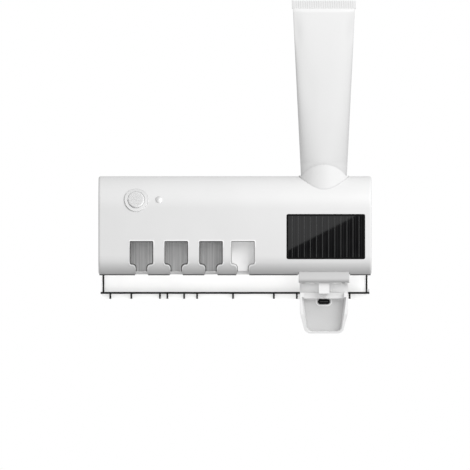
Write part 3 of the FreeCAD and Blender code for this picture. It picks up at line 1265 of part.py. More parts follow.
def lead(label, points):
    """A tube of straight runs joined by tangent arcs, read from the sheets."""
    bend = sizes.get("lead_bend")
    radius = sizes.get("lead_radius")
    edges = []
    start = points[0]
    for before, point, after in zip(points, points[1:], points[2:]):
        arriving = (point - before).normalize()
        leaving = (after - point).normalize()
        half_turn = arriving.getAngle(leaving) / 2
        reach = bend * math.tan(half_turn)
        first = point - arriving * reach
        last = point + leaving * reach
        inward = (leaving - arriving).normalize()
        middle = point + inward * (bend / math.cos(half_turn) - bend)
        edges.append(Part.LineSegment(start, first).toShape())
        edges.append(Part.Arc(first, middle, last).toShape())
        start = last
    edges.append(Part.LineSegment(start, points[-1]).toShape())
    return tube_along(label, Part.Wire(edges), points[0], (points[1] - points[0]).normalize(), radius)


def spot(x, y, z):
    """A point from three names in the places sheet."""
    return Vector(places.get(x), places.get(y), places.get(z))


def solar_lead():
    return lead("solar_lead", [spot("solar_exit", "solar_floor", "solar_middle"),
                               spot("solar_exit", "lead_y", "solar_middle"),
                               spot("solar_exit", "lead_y", "lead_z"),
                               spot("lead_end", "lead_y", "lead_z"),
                               spot("lead_end", "lead_stop", "lead_low")])


def battery_lead():
    return rod("battery_lead", "x", ("lead_end", "lead_stop", "battery_z"), "-lead_end - battery_length / 2",
               "lead_radius")


def lamp_lead():
    return lead("lamp_lead", [spot("lamp_lead_x", "lamp_y", "lamp_lead_z"),
                              spot("lamp_lead_x", "lamp_y", "lamp_lead_top"),
                              spot("lamp_lead_x", "lead_stop", "lamp_lead_end")])


# The whole set, in the order it is put together

NODES = [
    adhesive_pads(), wall_plate(), rear_case(), hanger_rail(), front_cover(), case_screws(),
    button_bezel(), button_cap(), sensor_lens(), control_board(), board_screws(), tact_switch(),
    motion_sensor(),
    solar_board(), solar_cells(), solar_frame(),
    tube_cup(), tube_sleeve(), tube_head(),
    hood(), pump_body(), gallery_plug(), inlet_seal(), inlet_valve(), outlet_nozzle(), nozzle_tip(),
    lever_pin(), piston(), piston_seal(), return_spring(), push_lever(), push_pad(),
    reflector(), lamp("uv_lamp", "0"), lamp_holders(), blind_pocket(),
    power_board(), usb_socket(), usb_plug(), battery(), battery_cradle(),
    solar_lead(), battery_lead(), lamp_lead(),
]
doc.recompute()

failed = [thing.Name for thing in doc.Objects if {"Invalid", "Error"} & set(thing.State)]
if failed:
    raise RuntimeError(f"not computed: {failed}")
for node in NODES:
    if node.Shape.isNull() or not node.Shape.isValid():
        raise RuntimeError(f"bad shape: {node.Label}")

os.makedirs("parts", exist_ok=True)
for node in NODES:
    node.Shape.exportStep(f"parts/{node.Label}.step")
    print(f"{node.Label}: {len(node.Shape.Solids)} solid(s), {node.Shape.Volume:.1f} cubic millimetres")
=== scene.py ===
# Toothpaste dispenser for a bathroom wall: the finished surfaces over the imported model, in metres. X runs
# along the case, Z is up, the wall is the plane Y = 0 and the front faces -Y.
import math

import bmesh
import bpy
import numpy as np
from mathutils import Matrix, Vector


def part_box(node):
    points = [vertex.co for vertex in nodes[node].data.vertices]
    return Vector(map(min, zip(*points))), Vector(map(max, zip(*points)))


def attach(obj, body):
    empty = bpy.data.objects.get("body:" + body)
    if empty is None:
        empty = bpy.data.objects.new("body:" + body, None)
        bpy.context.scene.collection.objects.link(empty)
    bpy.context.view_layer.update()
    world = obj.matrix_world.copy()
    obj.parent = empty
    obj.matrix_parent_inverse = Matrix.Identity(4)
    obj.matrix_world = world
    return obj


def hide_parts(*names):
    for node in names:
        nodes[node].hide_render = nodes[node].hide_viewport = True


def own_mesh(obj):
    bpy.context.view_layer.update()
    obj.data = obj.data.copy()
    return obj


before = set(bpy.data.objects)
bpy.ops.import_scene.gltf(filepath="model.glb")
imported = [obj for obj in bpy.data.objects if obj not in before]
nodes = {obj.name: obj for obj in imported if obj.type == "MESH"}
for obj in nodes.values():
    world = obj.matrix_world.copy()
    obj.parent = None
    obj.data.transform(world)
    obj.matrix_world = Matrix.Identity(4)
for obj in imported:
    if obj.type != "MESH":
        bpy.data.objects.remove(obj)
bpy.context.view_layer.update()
mm = 0.001

# Adhesive pads
# Three squares of white closed-cell foam tape, die cut, that hold the wall plate to the tiles. The plate's
# pressure makes each square bulge a little round its edge.


def rounded_outline(width, height, corner, steps):
    """Points round a rectangle about the origin: four quarter circles, each about its corner's own centre."""
    quarter = np.repeat(np.arange(4), steps)
    angle = (quarter + np.tile(np.linspace(0, 1, steps), 4)) * math.pi / 2
    centre_x = np.array([1, -1, -1, 1])[quarter] * (width / 2 - corner)
    centre_z = np.array([1, 1, -1, -1])[quarter] * (height / 2 - corner)
    return np.stack([centre_x + corner * np.cos(angle), centre_z + corner * np.sin(angle)], axis=-1)


def rounded_pad(low, high, corner):
    """Rows of one rounded outline between the pad's two faces: widest half way, drawn to a point on each
    face, with the share of the outline and the depth of each row given side by side."""
    width, thickness, height = high - low
    middle = (low + high) / 2
    outline = rounded_outline(width, height, corner, 7)
    share = np.array([0, 0.5, 0.985, 0.996, 1, 0.996, 0.985, 0.5, 0])
    depth = np.array([-0.5, -0.5, -0.5, -0.34, 0, 0.34, 0.5, 0.5, 0.5]) * thickness
    points = np.empty((len(share), len(outline), 3))
    points[..., 0] = middle[0] + share[:, None] * outline[:, 0]
    points[..., 1] = middle[1] + depth[:, None]
    points[..., 2] = middle[2] + share[:, None] * outline[:, 1]
    return points


def piece(name, body, slot, material, *grids):
    """One object of closed skins. Each grid of points gives a skin: its rows follow one another, its columns
    run round and meet, and a row drawn together in one point closes an end."""
    points, faces, count = [], [], 0
    for grid in grids:
        rows, columns = grid.shape[:2]
        index = count + np.arange(rows * columns).reshape(rows, columns)
        beside = np.roll(index, -1, axis=1)
        faces.append(np.stack([index[:-1], beside[:-1], beside[1:], index[1:]], axis=-1).reshape(-1, 4))
        points.append(grid.reshape(-1, 3))
        count += rows * columns
    mesh = bpy.data.meshes.new(name)
    mesh.from_pydata(np.concatenate(points), [], np.concatenate(faces).tolist())
    shell = bmesh.new()
    shell.from_mesh(mesh)
    bmesh.ops.remove_doubles(shell, verts=shell.verts, dist=1e-7)
    bmesh.ops.recalc_face_normals(shell, faces=shell.faces)
    shell.to_mesh(mesh)
    shell.free()
    mesh.shade_smooth()
    mesh.materials.append(material)
    made = bpy.data.objects.new(name, mesh)
    bpy.context.scene.collection.objects.link(made)
    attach(made, body)
    return made


def add(tree, kind, links=(), **settings):
    """A shader node with its settings made and its inputs linked or filled in, pair by pair."""
    node = tree.nodes.new(kind)
    for name, value in settings.items():
        setattr(node, name, value)
    for name, value in dict(links).items():
        if isinstance(value, bpy.types.NodeSocket):
            tree.links.new(value, node.inputs[name])
        else:
            node.inputs[name].default_value = value
    return node


def shades(tree, factor, *stops):
    """A ramp of colours over a factor, each stop a place and a linear colour."""
    ramp = add(tree, "ShaderNodeValToRGB", {"Fac": factor})
    while len(ramp.color_ramp.elements) < len(stops):
        ramp.color_ramp.elements.new(0.5)
    for element, (place, colour) in zip(ramp.color_ramp.elements, stops):
        element.position = place
        element.color = (*colour, 1)
    return ramp.outputs["Color"]


def fresh(name):
    """A new material with its tree, its shader and the piece's own coordinates."""
    material = bpy.data.materials.new(name)
    material.use_nodes = True
    tree = material.node_tree
    return material, tree, tree.nodes["Principled BSDF"], add(tree, "ShaderNodeTexCoord").outputs["Object"]


def moulded(name, pale, deep, gloss, grain_size=0.35, grain_depth=0.012, edge=0.35, **sockets):
    """Moulded plastic: two near shades in slow clouds, a fine spark-eroded grain in height and roughness,
    and edges that turn over in a small radius. Lengths are in millimetres."""
    material, tree, shader, place = fresh(name)
    cloud = add(tree, "ShaderNodeTexNoise", {"Vector": place, "Scale": 22.0, "Detail": 3.0}).outputs["Fac"]
    grain = add(tree, "ShaderNodeTexNoise",
                {"Vector": place, "Scale": 1000 / grain_size, "Detail": 2.0}).outputs["Fac"]
    colour = shades(tree, cloud, (0.3, deep), (0.7, pale))
    tree.links.new(colour, shader.inputs["Base Color"])
    rough = add(tree, "ShaderNodeMapRange", {"Value": grain, "From Min": 0.25, "From Max": 0.75,
                                             "To Min": gloss - 0.05, "To Max": gloss + 0.05})
    tree.links.new(rough.outputs["Result"], shader.inputs["Roughness"])
    turned = add(tree, "ShaderNodeBevel", {"Radius": edge * mm}, samples=4).outputs["Normal"]
    bump = add(tree, "ShaderNodeBump", {"Height": grain, "Normal": turned, "Strength": 0.5,
                                        "Distance": grain_depth * mm}).outputs["Normal"]
    tree.links.new(bump, shader.inputs["Normal"])
    for socket, value in sockets.items():
        shader.inputs[socket.replace("_", " ")].default_value = value
    return material


def dress(material, *names):
    """Gives CAD nodes their finish."""
    for name in names:
        mesh = nodes[name].data
        mesh.materials.clear()
        mesh.materials.append(material)


def closed_foam(name):
    """White foam tape: cut cells of about 0.4 mm, each with a small dark spot of painted shade for its pit.
    """
    material, tree, shader, place = fresh(name)
    cells = add(tree, "ShaderNodeTexVoronoi", {"Vector": place, "Scale": 2600.0}).outputs["Distance"]
    tree.links.new(shades(tree, cells, (0.1, (0.45, 0.45, 0.44)), (0.5, (0.80, 0.80, 0.78))),
                   shader.inputs["Base Color"])
    bump = add(tree, "ShaderNodeBump", {"Height": cells, "Strength": 0.6, "Distance": 0.1 * mm})
    tree.links.new(bump.outputs["Normal"], shader.inputs["Normal"])
    shader.inputs["Roughness"].default_value = 0.9
    return material


pad_low, pad_high = (np.array(corner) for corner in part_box("adhesive_pads"))
pad_width, pad_corner = 50 * mm, 3 * mm
pad_starts = np.linspace(pad_low[0], pad_high[0] - pad_width, 3)
pads = piece("foam_pads", "bracket", "foam", closed_foam("closed_foam"),
             *[rounded_pad(np.array([start, *pad_low[1:]]), np.array([start + pad_width, *pad_high[1:]]),
                           pad_corner) for start in pad_starts])
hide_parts("adhesive_pads")

# Wall plate
# Flat plate with two hooks that the unit hangs on, injection moulded in a plain matt grey-white. It stays on
# the wall when the unit is lifted off.
dress(moulded("plate_white", (0.72, 0.72, 0.71), (0.66, 0.66, 0.65), 0.55, grain_size=0.6), "wall_plate")

# Rear case
# The flat back of the unit, moulded in bright white. Its lower panel shows under the cover, and six screws
# from behind draw the cover onto its rims.
dress(moulded("rear_white", (0.93, 0.93, 0.925), (0.90, 0.90, 0.895), 0.38), "rear_case")

# Hanger rail
# Black ledge with ten ribs and a leg at each end, moulded in ABS and glued to the lower panel. Its colour is
# a little paler at its edges than on its faces, and a pale stop is clipped on the ledge at its right end.


def black_moulding(name, gloss, shine):
    """Black plastic: a fine grain, and a paler colour where the face turns sharply, which the bevelled normal
    shows by leaving the face's own normal."""
    material, tree, shader, place = fresh(name)
    grain = add(tree, "ShaderNodeTexNoise", {"Vector": place, "Scale": 2600.0, "Detail": 2.0}).outputs["Fac"]
    turned = add(tree, "ShaderNodeBevel", {"Radius": 0.3 * mm}, samples=4).outputs["Normal"]
    flat = add(tree, "ShaderNodeNewGeometry").outputs["Normal"]
    along = add(tree, "ShaderNodeVectorMath", operation="DOT_PRODUCT")
    tree.links.new(turned, along.inputs[0])
    tree.links.new(flat, along.inputs[1])
    paler_edge = shades(tree, along.outputs["Value"], (0.9, (0.035, 0.035, 0.036)), (0.99, (0.006, 0.006, 0.006)))
    tree.links.new(paler_edge, shader.inputs["Base Color"])
    rough = add(tree, "ShaderNodeMapRange", {"Value": grain, "From Min": 0.25, "From Max": 0.75,
                                             "To Min": gloss - 0.06, "To Max": gloss + 0.06})
    tree.links.new(rough.outputs["Result"], shader.inputs["Roughness"])
    bump = add(tree, "ShaderNodeBump", {"Height": grain, "Normal": turned, "Strength": 0.5,
                                        "Distance": 0.015 * mm})
    tree.links.new(bump.outputs["Normal"], shader.inputs["Normal"])
    shader.inputs["Specular IOR Level"].default_value = shine
    return material


dress(black_moulding("rail_black", 0.4, 0.2), "hanger_rail")
rail_low, rail_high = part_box("hanger_rail")
stop_width, stop_depth, stop_corner = 2.2 * mm, 6 * mm, 0.4 * mm
ledge_top, stop_top = -61.2 * mm, -58.4 * mm
piece("rail_stop", "unit", "shell",
      moulded("stop_white", (0.72, 0.72, 0.72), (0.68, 0.68, 0.68), 0.35, edge=0.2),
      rounded_pad(np.array([rail_high[0] - stop_width, rail_low[1], ledge_top]),
                  np.array([rail_high[0], rail_low[1] + stop_depth, stop_top]), stop_corner))

# Front cover
# The long rounded shell, injection moulded in satin white ABS, with four hanging slots cut up from its
# underside. A low bead round each slot stiffens its edge and is whiter than the shell, a painted highlight.
# Dark lips inside the slots and a dark strip under the front edge are painted shade for the shadow gaps
# there.
dress(moulded("cover_white", (0.80, 0.80, 0.80), (0.775, 0.775, 0.775), 0.36, Coat_Weight=0.15,
              Coat_Roughness=0.25), "front_cover")

front_y, bottom_z = -59.4 * mm, -45 * mm
lower_round = 17 * mm
slot_places = np.array([-85.6, -53.8, -22.0, 7.2]) * mm


def rounded_path(corners, radii, steps):
    """A path through square corners, each corner a quarter circle: the circle's centre lies one radius back
    along the way in and one radius on along the way out."""
    corners, radii = np.array(corners), np.array(radii)[:, None]
    ways = np.diff(corners, axis=0)
    ways /= np.linalg.norm(ways, axis=1)[:, None]
    way_in, way_out = ways[:-1], ways[1:]
    centres = corners[1:-1] + (way_out - way_in) * radii
    angle = np.linspace(0, math.pi / 2, steps)[None, :, None]
    spokes = way_in[:, None] * np.sin(angle) - way_out[:, None] * np.cos(angle)
    arcs = centres[:, None] + radii[:, None] * spokes
    return np.concatenate([corners[:1], arcs.reshape(-1, 2), corners[-1:]])


def on_front(spots, proud):
    """Points over the cover's front: a flat face, and below it a quarter cylinder. A point stands proud of
    the skin along the skin's own normal."""
    x, z = spots[..., 0], spots[..., 1]
    dip = np.clip((bottom_z + lower_round - z) / lower_round, 0, 0.98)
    level = np.sqrt(1 - dip ** 2)
    y = front_y + lower_round * (1 - level) - proud * level
    return np.stack([x, y, z - proud * dip], axis=-1)


def slot_rim(middle, aside, half_width, level, rise):
    """An oval profile carried along the slot's outline, from the underside up one leg and down the other.
    The profile lies aside from the outline, outward where positive, and at a level over the skin."""
    wide, neck = 10.8 * mm, 5.2 * mm
    base, top, foot = -36.2 * mm, -14.5 * mm, -43.2 * mm
    neck_round, base_round, top_round = 3.6 * mm, 1.9 * mm, 0.9 * mm
    half = [(neck, foot), (neck, base), (wide, base), (wide, top)]
    corners = [(-x, z) for x, z in half] + half[::-1]
    rounds = [neck_round, base_round, top_round, top_round, base_round, neck_round]
    path = rounded_path(corners, rounds, 9)
    path[:, 0] += middle
    way = np.gradient(path, axis=0)
    way /= np.linalg.norm(way, axis=1)[:, None]
    outward = np.stack([-way[:, 1], way[:, 0]], axis=-1)
    turn = np.linspace(0, 2 * math.pi, 13)[:-1]
    ends = np.concatenate([[0], np.ones(len(path)), [0]])[:, None]
    rows = np.concatenate([[0], np.arange(len(path)), [len(path) - 1]])
    across = aside - half_width * np.cos(turn)[None] * ends
    spots = path[rows][:, None] + outward[rows][:, None] * across[..., None]
    return on_front(spots, level + rise * np.sin(turn)[None] * ends)


# The beads are whiter than the cover: a painted highlight along each slot's edge.
piece("slot_beads", "unit", "shell",
      moulded("bead_highlight_white", (0.96, 0.96, 0.96), (0.94, 0.94, 0.94), 0.3, edge=0.1),
      *[slot_rim(middle, aside=0.5 * mm, half_width=0.55 * mm, level=0.07 * mm, rise=0.27 * mm)
        for middle in slot_places])
# Dark lips set back inside the slots, pale grey in the last one: painted shade for the shadow gap round each
# opening.
piece("slot_shade_lips", "unit", "black_rubber",
      moulded("lip_shade_grey", (0.10, 0.10, 0.10), (0.08, 0.08, 0.08), 0.6, edge=0.1),
      *[slot_rim(middle, aside=-0.35 * mm, half_width=0.45 * mm, level=-1.4 * mm, rise=0.4 * mm)
        for middle in slot_places[:3]])
piece("pocket_shade_lip", "unit", "white_rubber",
      moulded("lip_shade_pale", (0.40, 0.40, 0.40), (0.37, 0.37, 0.37), 0.6, edge=0.1),
      slot_rim(slot_places[3], aside=-0.3 * mm, half_width=0.4 * mm, level=-1.4 * mm, rise=0.4 * mm))


def shade_strip(start, end):
    """A round bar sunk a third of its height in the cover's underside, where its lower round ends, and drawn
    together at both ends."""
    radius, drop = 0.6 * mm, 0.2 * mm
    turn = np.linspace(0, 2 * math.pi, 13)[:-1]
    x = np.array([start, start, end, end])[:, None]
    share = np.array([0, 1, 1, 0])[:, None]
    y = front_y + lower_round + radius * np.cos(turn) * share
    z = bottom_z - drop + radius * np.sin(turn) * share
    return np.stack([x + 0 * y, y, z], axis=-1)


cover_end, slot_clear, hood_left, hood_right = 124.2 * mm, 6.0 * mm, 57.5 * mm, 105.5 * mm
strip_starts = [-cover_end, *(slot_places + slot_clear), hood_right]
strip_ends = [*(slot_places - slot_clear), hood_left, cover_end]
# Dark strips under the cover's front edge: painted shade for the shadow line along the underside.
piece("shade_strips", "unit", "black_rubber",
      moulded("strip_shade_grey", (0.10, 0.10, 0.10), (0.08, 0.08, 0.08), 0.6, edge=0.1),
      *[shade_strip(start, end) for start, end in zip(strip_starts, strip_ends)])

# Case screws
# Zinc-plated self-tapping screws with round heads, sunk in the rear case: six hold the cover and two the
# pump's hood. Each head has a pressed cross, drawn as a thin dark plate of painted shade.


def plated_steel(name, colour, rough):
    """Bright plating over turned steel: fine tool marks, from one noise, in its colour and roughness, and
    edges that turn over in a small radius."""
    material, tree, shader, place = fresh(name)
    marks = add(tree, "ShaderNodeTexNoise", {"Vector": place, "Scale": 1800.0, "Detail": 3.0}).outputs["Fac"]
    tree.links.new(shades(tree, marks, (0.3, tuple(0.8 * part for part in colour)), (0.7, colour)),
                   shader.inputs["Base Color"])
    spread = add(tree, "ShaderNodeMapRange", {"Value": marks, "To Min": rough - 0.1, "To Max": rough + 0.1})
    tree.links.new(spread.outputs["Result"], shader.inputs["Roughness"])
    turned = add(tree, "ShaderNodeBevel", {"Radius": 0.25 * mm}, samples=4).outputs["Normal"]
    tree.links.new(turned, shader.inputs["Normal"])
    shader.inputs["Metallic"].default_value = 1.0
    return material


dress(plated_steel("zinc_plate", (0.62, 0.62, 0.60), 0.32), "case_screws", "board_screws")


def cross_shade_plate(middle):
    """Painted shade for a cross recess: a thin plate whose outline is a four-armed star, its radius swinging
    between arm and root four times in a turn."""
    root, arm = 0.62 * mm, 1.05 * mm
    turn = np.linspace(0, 2 * math.pi, 49)[:-1]
    reach = root + arm * np.abs(np.cos(2 * turn)) ** 6
    share = np.array([0, 1, 1, 0])
    depth = np.array([0.01, 0.01, -0.05, -0.05]) * mm
    points = np.empty((4, len(turn), 3))
    points[..., 0] = middle[0] + share[:, None] * reach * np.cos(turn)
    points[..., 1] = middle[1] + depth[:, None]
    points[..., 2] = middle[2] + share[:, None] * reach * np.sin(turn)
    return points


screw_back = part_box("case_screws")[1][1]
screw_middles = [(x * mm, screw_back, z * mm) for x in (-118.5, 43.5, 118.5) for z in (38.5, -38.5)]
pump_z = -31 * mm
screw_middles += [(x * mm, screw_back, pump_z) for x in (67.5, 95.5)]
# Dark crosses on the screw heads: painted shade for the hollow of each pressed cross.
piece("screw_cross_shades", "unit", "steel", plated_steel("cross_shadow", (0.06, 0.06, 0.06), 0.6),
      *[cross_shade_plate(middle) for middle in screw_middles])

# Button and sensor
# A white ring pressed into the cover, a cap that slides in it with a field of raised dots for the finger, and
# beside them the milky dome of the motion sensor.
dress(moulded("ring_white", (0.70, 0.70, 0.70), (0.68, 0.68, 0.68), 0.28, edge=0.9), "button_bezel")
cap_white = moulded("cap_white", (0.67, 0.67, 0.67), (0.65, 0.65, 0.65), 0.34, edge=0.7)
dress(cap_white, "button_cap")

slant = math.radians(14.8)
cap_out = np.array([0, -math.cos(slant), math.sin(slant)])
cap_up = np.array([0, math.sin(slant), math.cos(slant)])
cap_seat, cap_rise = np.array([-90.5, -58.44, 23.41]) * mm, 1.9 * mm
cap_face = cap_seat + cap_out * cap_rise


def finger_dot(across, up):
    """A low dome on the cap's face: rings of a sphere's cap, sunk a little and drawn together below."""
    radius, height = 0.4 * mm, 0.32 * mm
    turn = np.linspace(0, 2 * math.pi, 9)[:-1]
    share = np.array([0, 0.55, 0.9, 1, 0])
    rise = np.array([1, 0.75, 0.3, -0.2, -0.2]) * height
    middle = cap_face + cap_up * up + np.array([across, 0, 0])
    ring = np.stack([np.cos(turn), np.zeros_like(turn), np.zeros_like(turn)], axis=-1)
    ring = ring + np.sin(turn)[:, None] * cap_up
    return middle + share[:, None, None] * radius * ring[None] + rise[:, None, None] * cap_out


dot_pitch, dot_field = 1.55 * mm, 5.7 * mm
columns, rows = np.meshgrid(np.arange(-6, 7), np.arange(-6, 7))
dots = np.stack([(columns + (rows % 2) / 2) * dot_pitch, rows * dot_pitch * math.sqrt(3) / 2], axis=-1)
dots = dots[np.hypot(dots[..., 0], dots[..., 1]) < dot_field]
raised_dots = piece("finger_dots", "button", "shell", cap_white,
                    *[finger_dot(across, up) for across, up in dots])

dress(moulded("milky_dome", (0.70, 0.70, 0.70), (0.67, 0.67, 0.67), 0.2, Coat_Weight=0.4,
              Coat_Roughness=0.08), "sensor_lens")

# Boards inside
# Glass-fibre circuit boards under green solder mask, a switch and a sensor in black plastic, and a charging
# socket stamped from steel sheet. They are screwed or soldered in place.


def solder_mask(name):
    """Green mask over copper tracks: slightly wavy bands of near greens, crossed both ways."""
    material, tree, shader, place = fresh(name)
    tracks = {"Vector": place, "Scale": 120.0, "Distortion": 1.5, "Detail": 1.0}
    bands = [add(tree, "ShaderNodeTexWave", tracks, bands_direction=way).outputs["Fac"] for way in ("X", "Z")]
    both = add(tree, "ShaderNodeMath", operation="MULTIPLY")
    tree.links.new(bands[0], both.inputs[0])
    tree.links.new(bands[1], both.inputs[1])
    greens = shades(tree, both.outputs["Value"], (0.1, (0.008, 0.10, 0.03)), (0.5, (0.02, 0.17, 0.06)))
    tree.links.new(greens, shader.inputs["Base Color"])
    shader.inputs["Roughness"].default_value = 0.35
    return material


dress(solder_mask("solder_mask"), "control_board", "power_board")
dress(black_moulding("switch_black", 0.5, 0.4), "tact_switch", "motion_sensor")
dress(plated_steel("socket_steel", (0.70, 0.70, 0.69), 0.25), "usb_socket")

# Solar panel
# Thirteen strips of dark silicon on a carrier board under clear epoxy, inside a black border. The board shows
# as grey lines between the strips.


def silicon(name):
    """Dark silicon under clear epoxy: a slow drift of near-black shades and the fine fingers of its
    contacts, upright lines from a wave along X."""
    material, tree, shader, place = fresh(name)
    cloud = add(tree, "ShaderNodeTexNoise", {"Vector": place, "Scale": 60.0, "Detail": 2.0}).outputs["Fac"]
    fingers = add(tree, "ShaderNodeTexWave", {"Vector": place, "Scale": 112.6, "Distortion": 0.0},
                  bands_direction="X", wave_profile="SIN").outputs["Fac"]
    base = shades(tree, cloud, (0.3, (0.006, 0.006, 0.0065)), (0.7, (0.010, 0.010, 0.0105)))
    lines = shades(tree, fingers, (0.93, (0, 0, 0)), (1.0, (0.012, 0.012, 0.012)))
    both = add(tree, "ShaderNodeMix", {"Factor": 1.0}, data_type="RGBA", blend_type="ADD")
    tree.links.new(base, both.inputs[6])
    tree.links.new(lines, both.inputs[7])
    tree.links.new(both.outputs[2], shader.inputs["Base Color"])
    smudge = add(tree, "ShaderNodeMapRange", {"Value": cloud, "To Min": 0.008, "To Max": 0.016})
    tree.links.new(smudge.outputs["Result"], shader.inputs["Roughness"])
    return material


dress(silicon("silicon"), "solar_cells")
dress(moulded("carrier_grey", (0.10, 0.10, 0.10), (0.08, 0.08, 0.08), 0.1, edge=0.05), "solar_board")
dress(moulded("border_black", (0.004, 0.004, 0.004), (0.003, 0.003, 0.003), 0.3, edge=0.1,
              Specular_IOR_Level=0.1), "solar_frame")

# Tube cup
# Round socket with an arched rim, moulded in the cover's white, that takes the tube upside down. It stands in
# the cover's roof.
dress(moulded("cup_white", (0.79, 0.79, 0.79), (0.77, 0.77, 0.77), 0.33, Coat_Weight=0.15,
              Coat_Roughness=0.2), "tube_cup")

# Toothpaste tube
# A white laminate tube standing on its head: round at the shoulder, pressed flat and welded at the top. The
# weld is a band with fine upright ridges, and the walls pucker below its corners.
tube_x, tube_y = 81.5 * mm, -30.6 * mm
shoulder_z, weld_z, weld_top = 34.3 * mm, 198.4 * mm, 206.3 * mm
shoulder_radius, flat_half, weld_half, weld_thickness = 20.5 * mm, 28.5 * mm, 29.3 * mm, 1.4 * mm
wall_top = weld_z + 0.4 * mm


def tube_wall():
    """Sections that pass from a circle to a flat oval: half width and half depth change with height, the
    oval's power rises so that its face flattens, the wall swells a little toward the weld and turns in just
    under it, four soft hollows press in below the weld's corners, and a shallow one lies half way up at
    the left."""
    height, turn = np.meshgrid(np.linspace(0, 1, 241), np.linspace(0, 2 * math.pi, 193)[:-1], indexing="ij")
    half_width = shoulder_radius + (flat_half - shoulder_radius) * height
    taper = height ** 1.1
    swell = 0.8 * mm * np.clip((height - 0.5) / 0.48, 0, 1) ** 2
    turn_in = np.clip((0.996 - height) / 0.014, 0, 1)
    half_depth = shoulder_radius * (1 - taper) + 0.5 * weld_thickness * taper + swell * turn_in
    flatness = np.clip((height - 0.14) / 0.4, 0, 1) ** 0.8
    power = 2 / (2 + 1.3 * flatness)
    across = np.sign(np.cos(turn)) * np.abs(np.cos(turn)) ** power
    out = np.sign(np.sin(turn)) * np.abs(np.sin(turn)) ** power
    pucker = np.exp(-((np.abs(across) - 0.95) / 0.17) ** 2 - ((height - 0.88) / 0.085) ** 2)
    press = np.exp(-((across + 0.55) / 0.3) ** 2 - ((height - 0.55) / 0.12) ** 2)
    out = out * (1 - 0.45 * pucker - 0.05 * press)
    points = np.stack([tube_x + half_width * across, tube_y + half_depth * out,
                       shoulder_z + (wall_top - shoulder_z) * height], axis=-1)
    foot, head = np.full_like(points[:1], tube_x), np.full_like(points[:1], tube_x)
    foot[..., 1:] = tube_y, shoulder_z
    head[..., 1:] = tube_y, wall_top
    return np.concatenate([foot, points, head])


def weld_band():
    """A flat strip with round edges, carried up the weld: on both faces a wave of upright ridges, which
    fades at the strip's ends and its upper and lower edge."""
    steps = 560
    ridge_pitch, half_thickness, ridge_rise = 2.08 * mm, 0.42 * mm, 0.24 * mm
    run = np.linspace(0, 1, steps, endpoint=False)
    side = np.where(run < 0.5, -1.0, 1.0)
    share = np.where(run < 0.5, 4 * run - 1, 3 - 4 * run)
    levels = np.array([0, 0, 0.06, 0.14, 0.3, 0.5, 0.7, 0.86, 0.94, 1, 1])
    body = np.array([0, 0.8, 1, 1, 1, 1, 1, 1, 1, 0.8, 0])
    ridge = np.array([0, 0, 0.3, 1, 1, 1, 1, 1, 0.3, 0, 0])
    edge = np.sqrt(np.clip(1 - np.abs(share) ** 24, 0, 1))
    fade = np.clip(8 * (1 - np.abs(share)), 0, 1)
    wave = np.cos(share * weld_half / ridge_pitch * 2 * math.pi) * fade
    depth = side * edge * (half_thickness + ridge_rise * ridge[:, None] * wave)
    points = np.empty((len(levels), steps, 3))
    points[..., 0] = tube_x + weld_half * share * np.where(body > 0, 1, 0)[:, None]
    points[..., 1] = tube_y + depth * body[:, None]
    points[..., 2] = weld_z + (weld_top - weld_z) * levels[:, None]
    return points


def laminate(name):
    """White laminate film: a faint orange peel, a soft sheen, and slightly duller patches where it is
    handled."""
    material, tree, shader, place = fresh(name)
    cloud = add(tree, "ShaderNodeTexNoise", {"Vector": place, "Scale": 18.0, "Detail": 3.0}).outputs["Fac"]
    peel = add(tree, "ShaderNodeTexNoise", {"Vector": place, "Scale": 700.0, "Detail": 1.0}).outputs["Fac"]
    tree.links.new(shades(tree, cloud, (0.3, (0.72, 0.72, 0.72)), (0.7, (0.74, 0.74, 0.74))),
                   shader.inputs["Base Color"])
    dull = add(tree, "ShaderNodeMapRange", {"Value": cloud, "To Min": 0.36, "To Max": 0.48})
    tree.links.new(dull.outputs["Result"], shader.inputs["Roughness"])
    bump = add(tree, "ShaderNodeBump", {"Height": peel, "Strength": 0.3, "Distance": 0.01 * mm})
    tree.links.new(bump.outputs["Normal"], shader.inputs["Normal"])
    return material


tube = piece("laminate_tube", "tube", "tube_laminate", laminate("laminate"), tube_wall(), weld_band())
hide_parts("tube_sleeve")
dress(moulded("tube_shoulder", (0.82, 0.82, 0.82), (0.78, 0.78, 0.78), 0.4), "tube_head")

# Pump
# Hood and nozzle in white, the pump's own body and piston in natural plastic, seals in black rubber, the
# valve and the nozzle's tip in silicone, and a coiled steel spring that pushes the piston back.
# The hood's white is darker than the cover's: painted shade from the cover's overhang above it.
dress(moulded("hood_shaded_white", (0.65, 0.65, 0.65), (0.63, 0.63, 0.63), 0.34), "hood")
dress(moulded("nozzle_white", (0.92, 0.92, 0.92), (0.90, 0.90, 0.90), 0.3), "outlet_nozzle")
dress(moulded("natural_plastic", (0.70, 0.70, 0.67), (0.64, 0.64, 0.61), 0.45),
      "pump_body", "gallery_plug", "piston")
dress(moulded("silicone", (0.72, 0.72, 0.71), (0.66, 0.66, 0.65), 0.6), "inlet_valve", "nozzle_tip")
dress(black_moulding("seal_rubber", 0.65, 0.3), "inlet_seal", "piston_seal")
dress(plated_steel("pin_steel", (0.60, 0.60, 0.60), 0.25), "lever_pin")


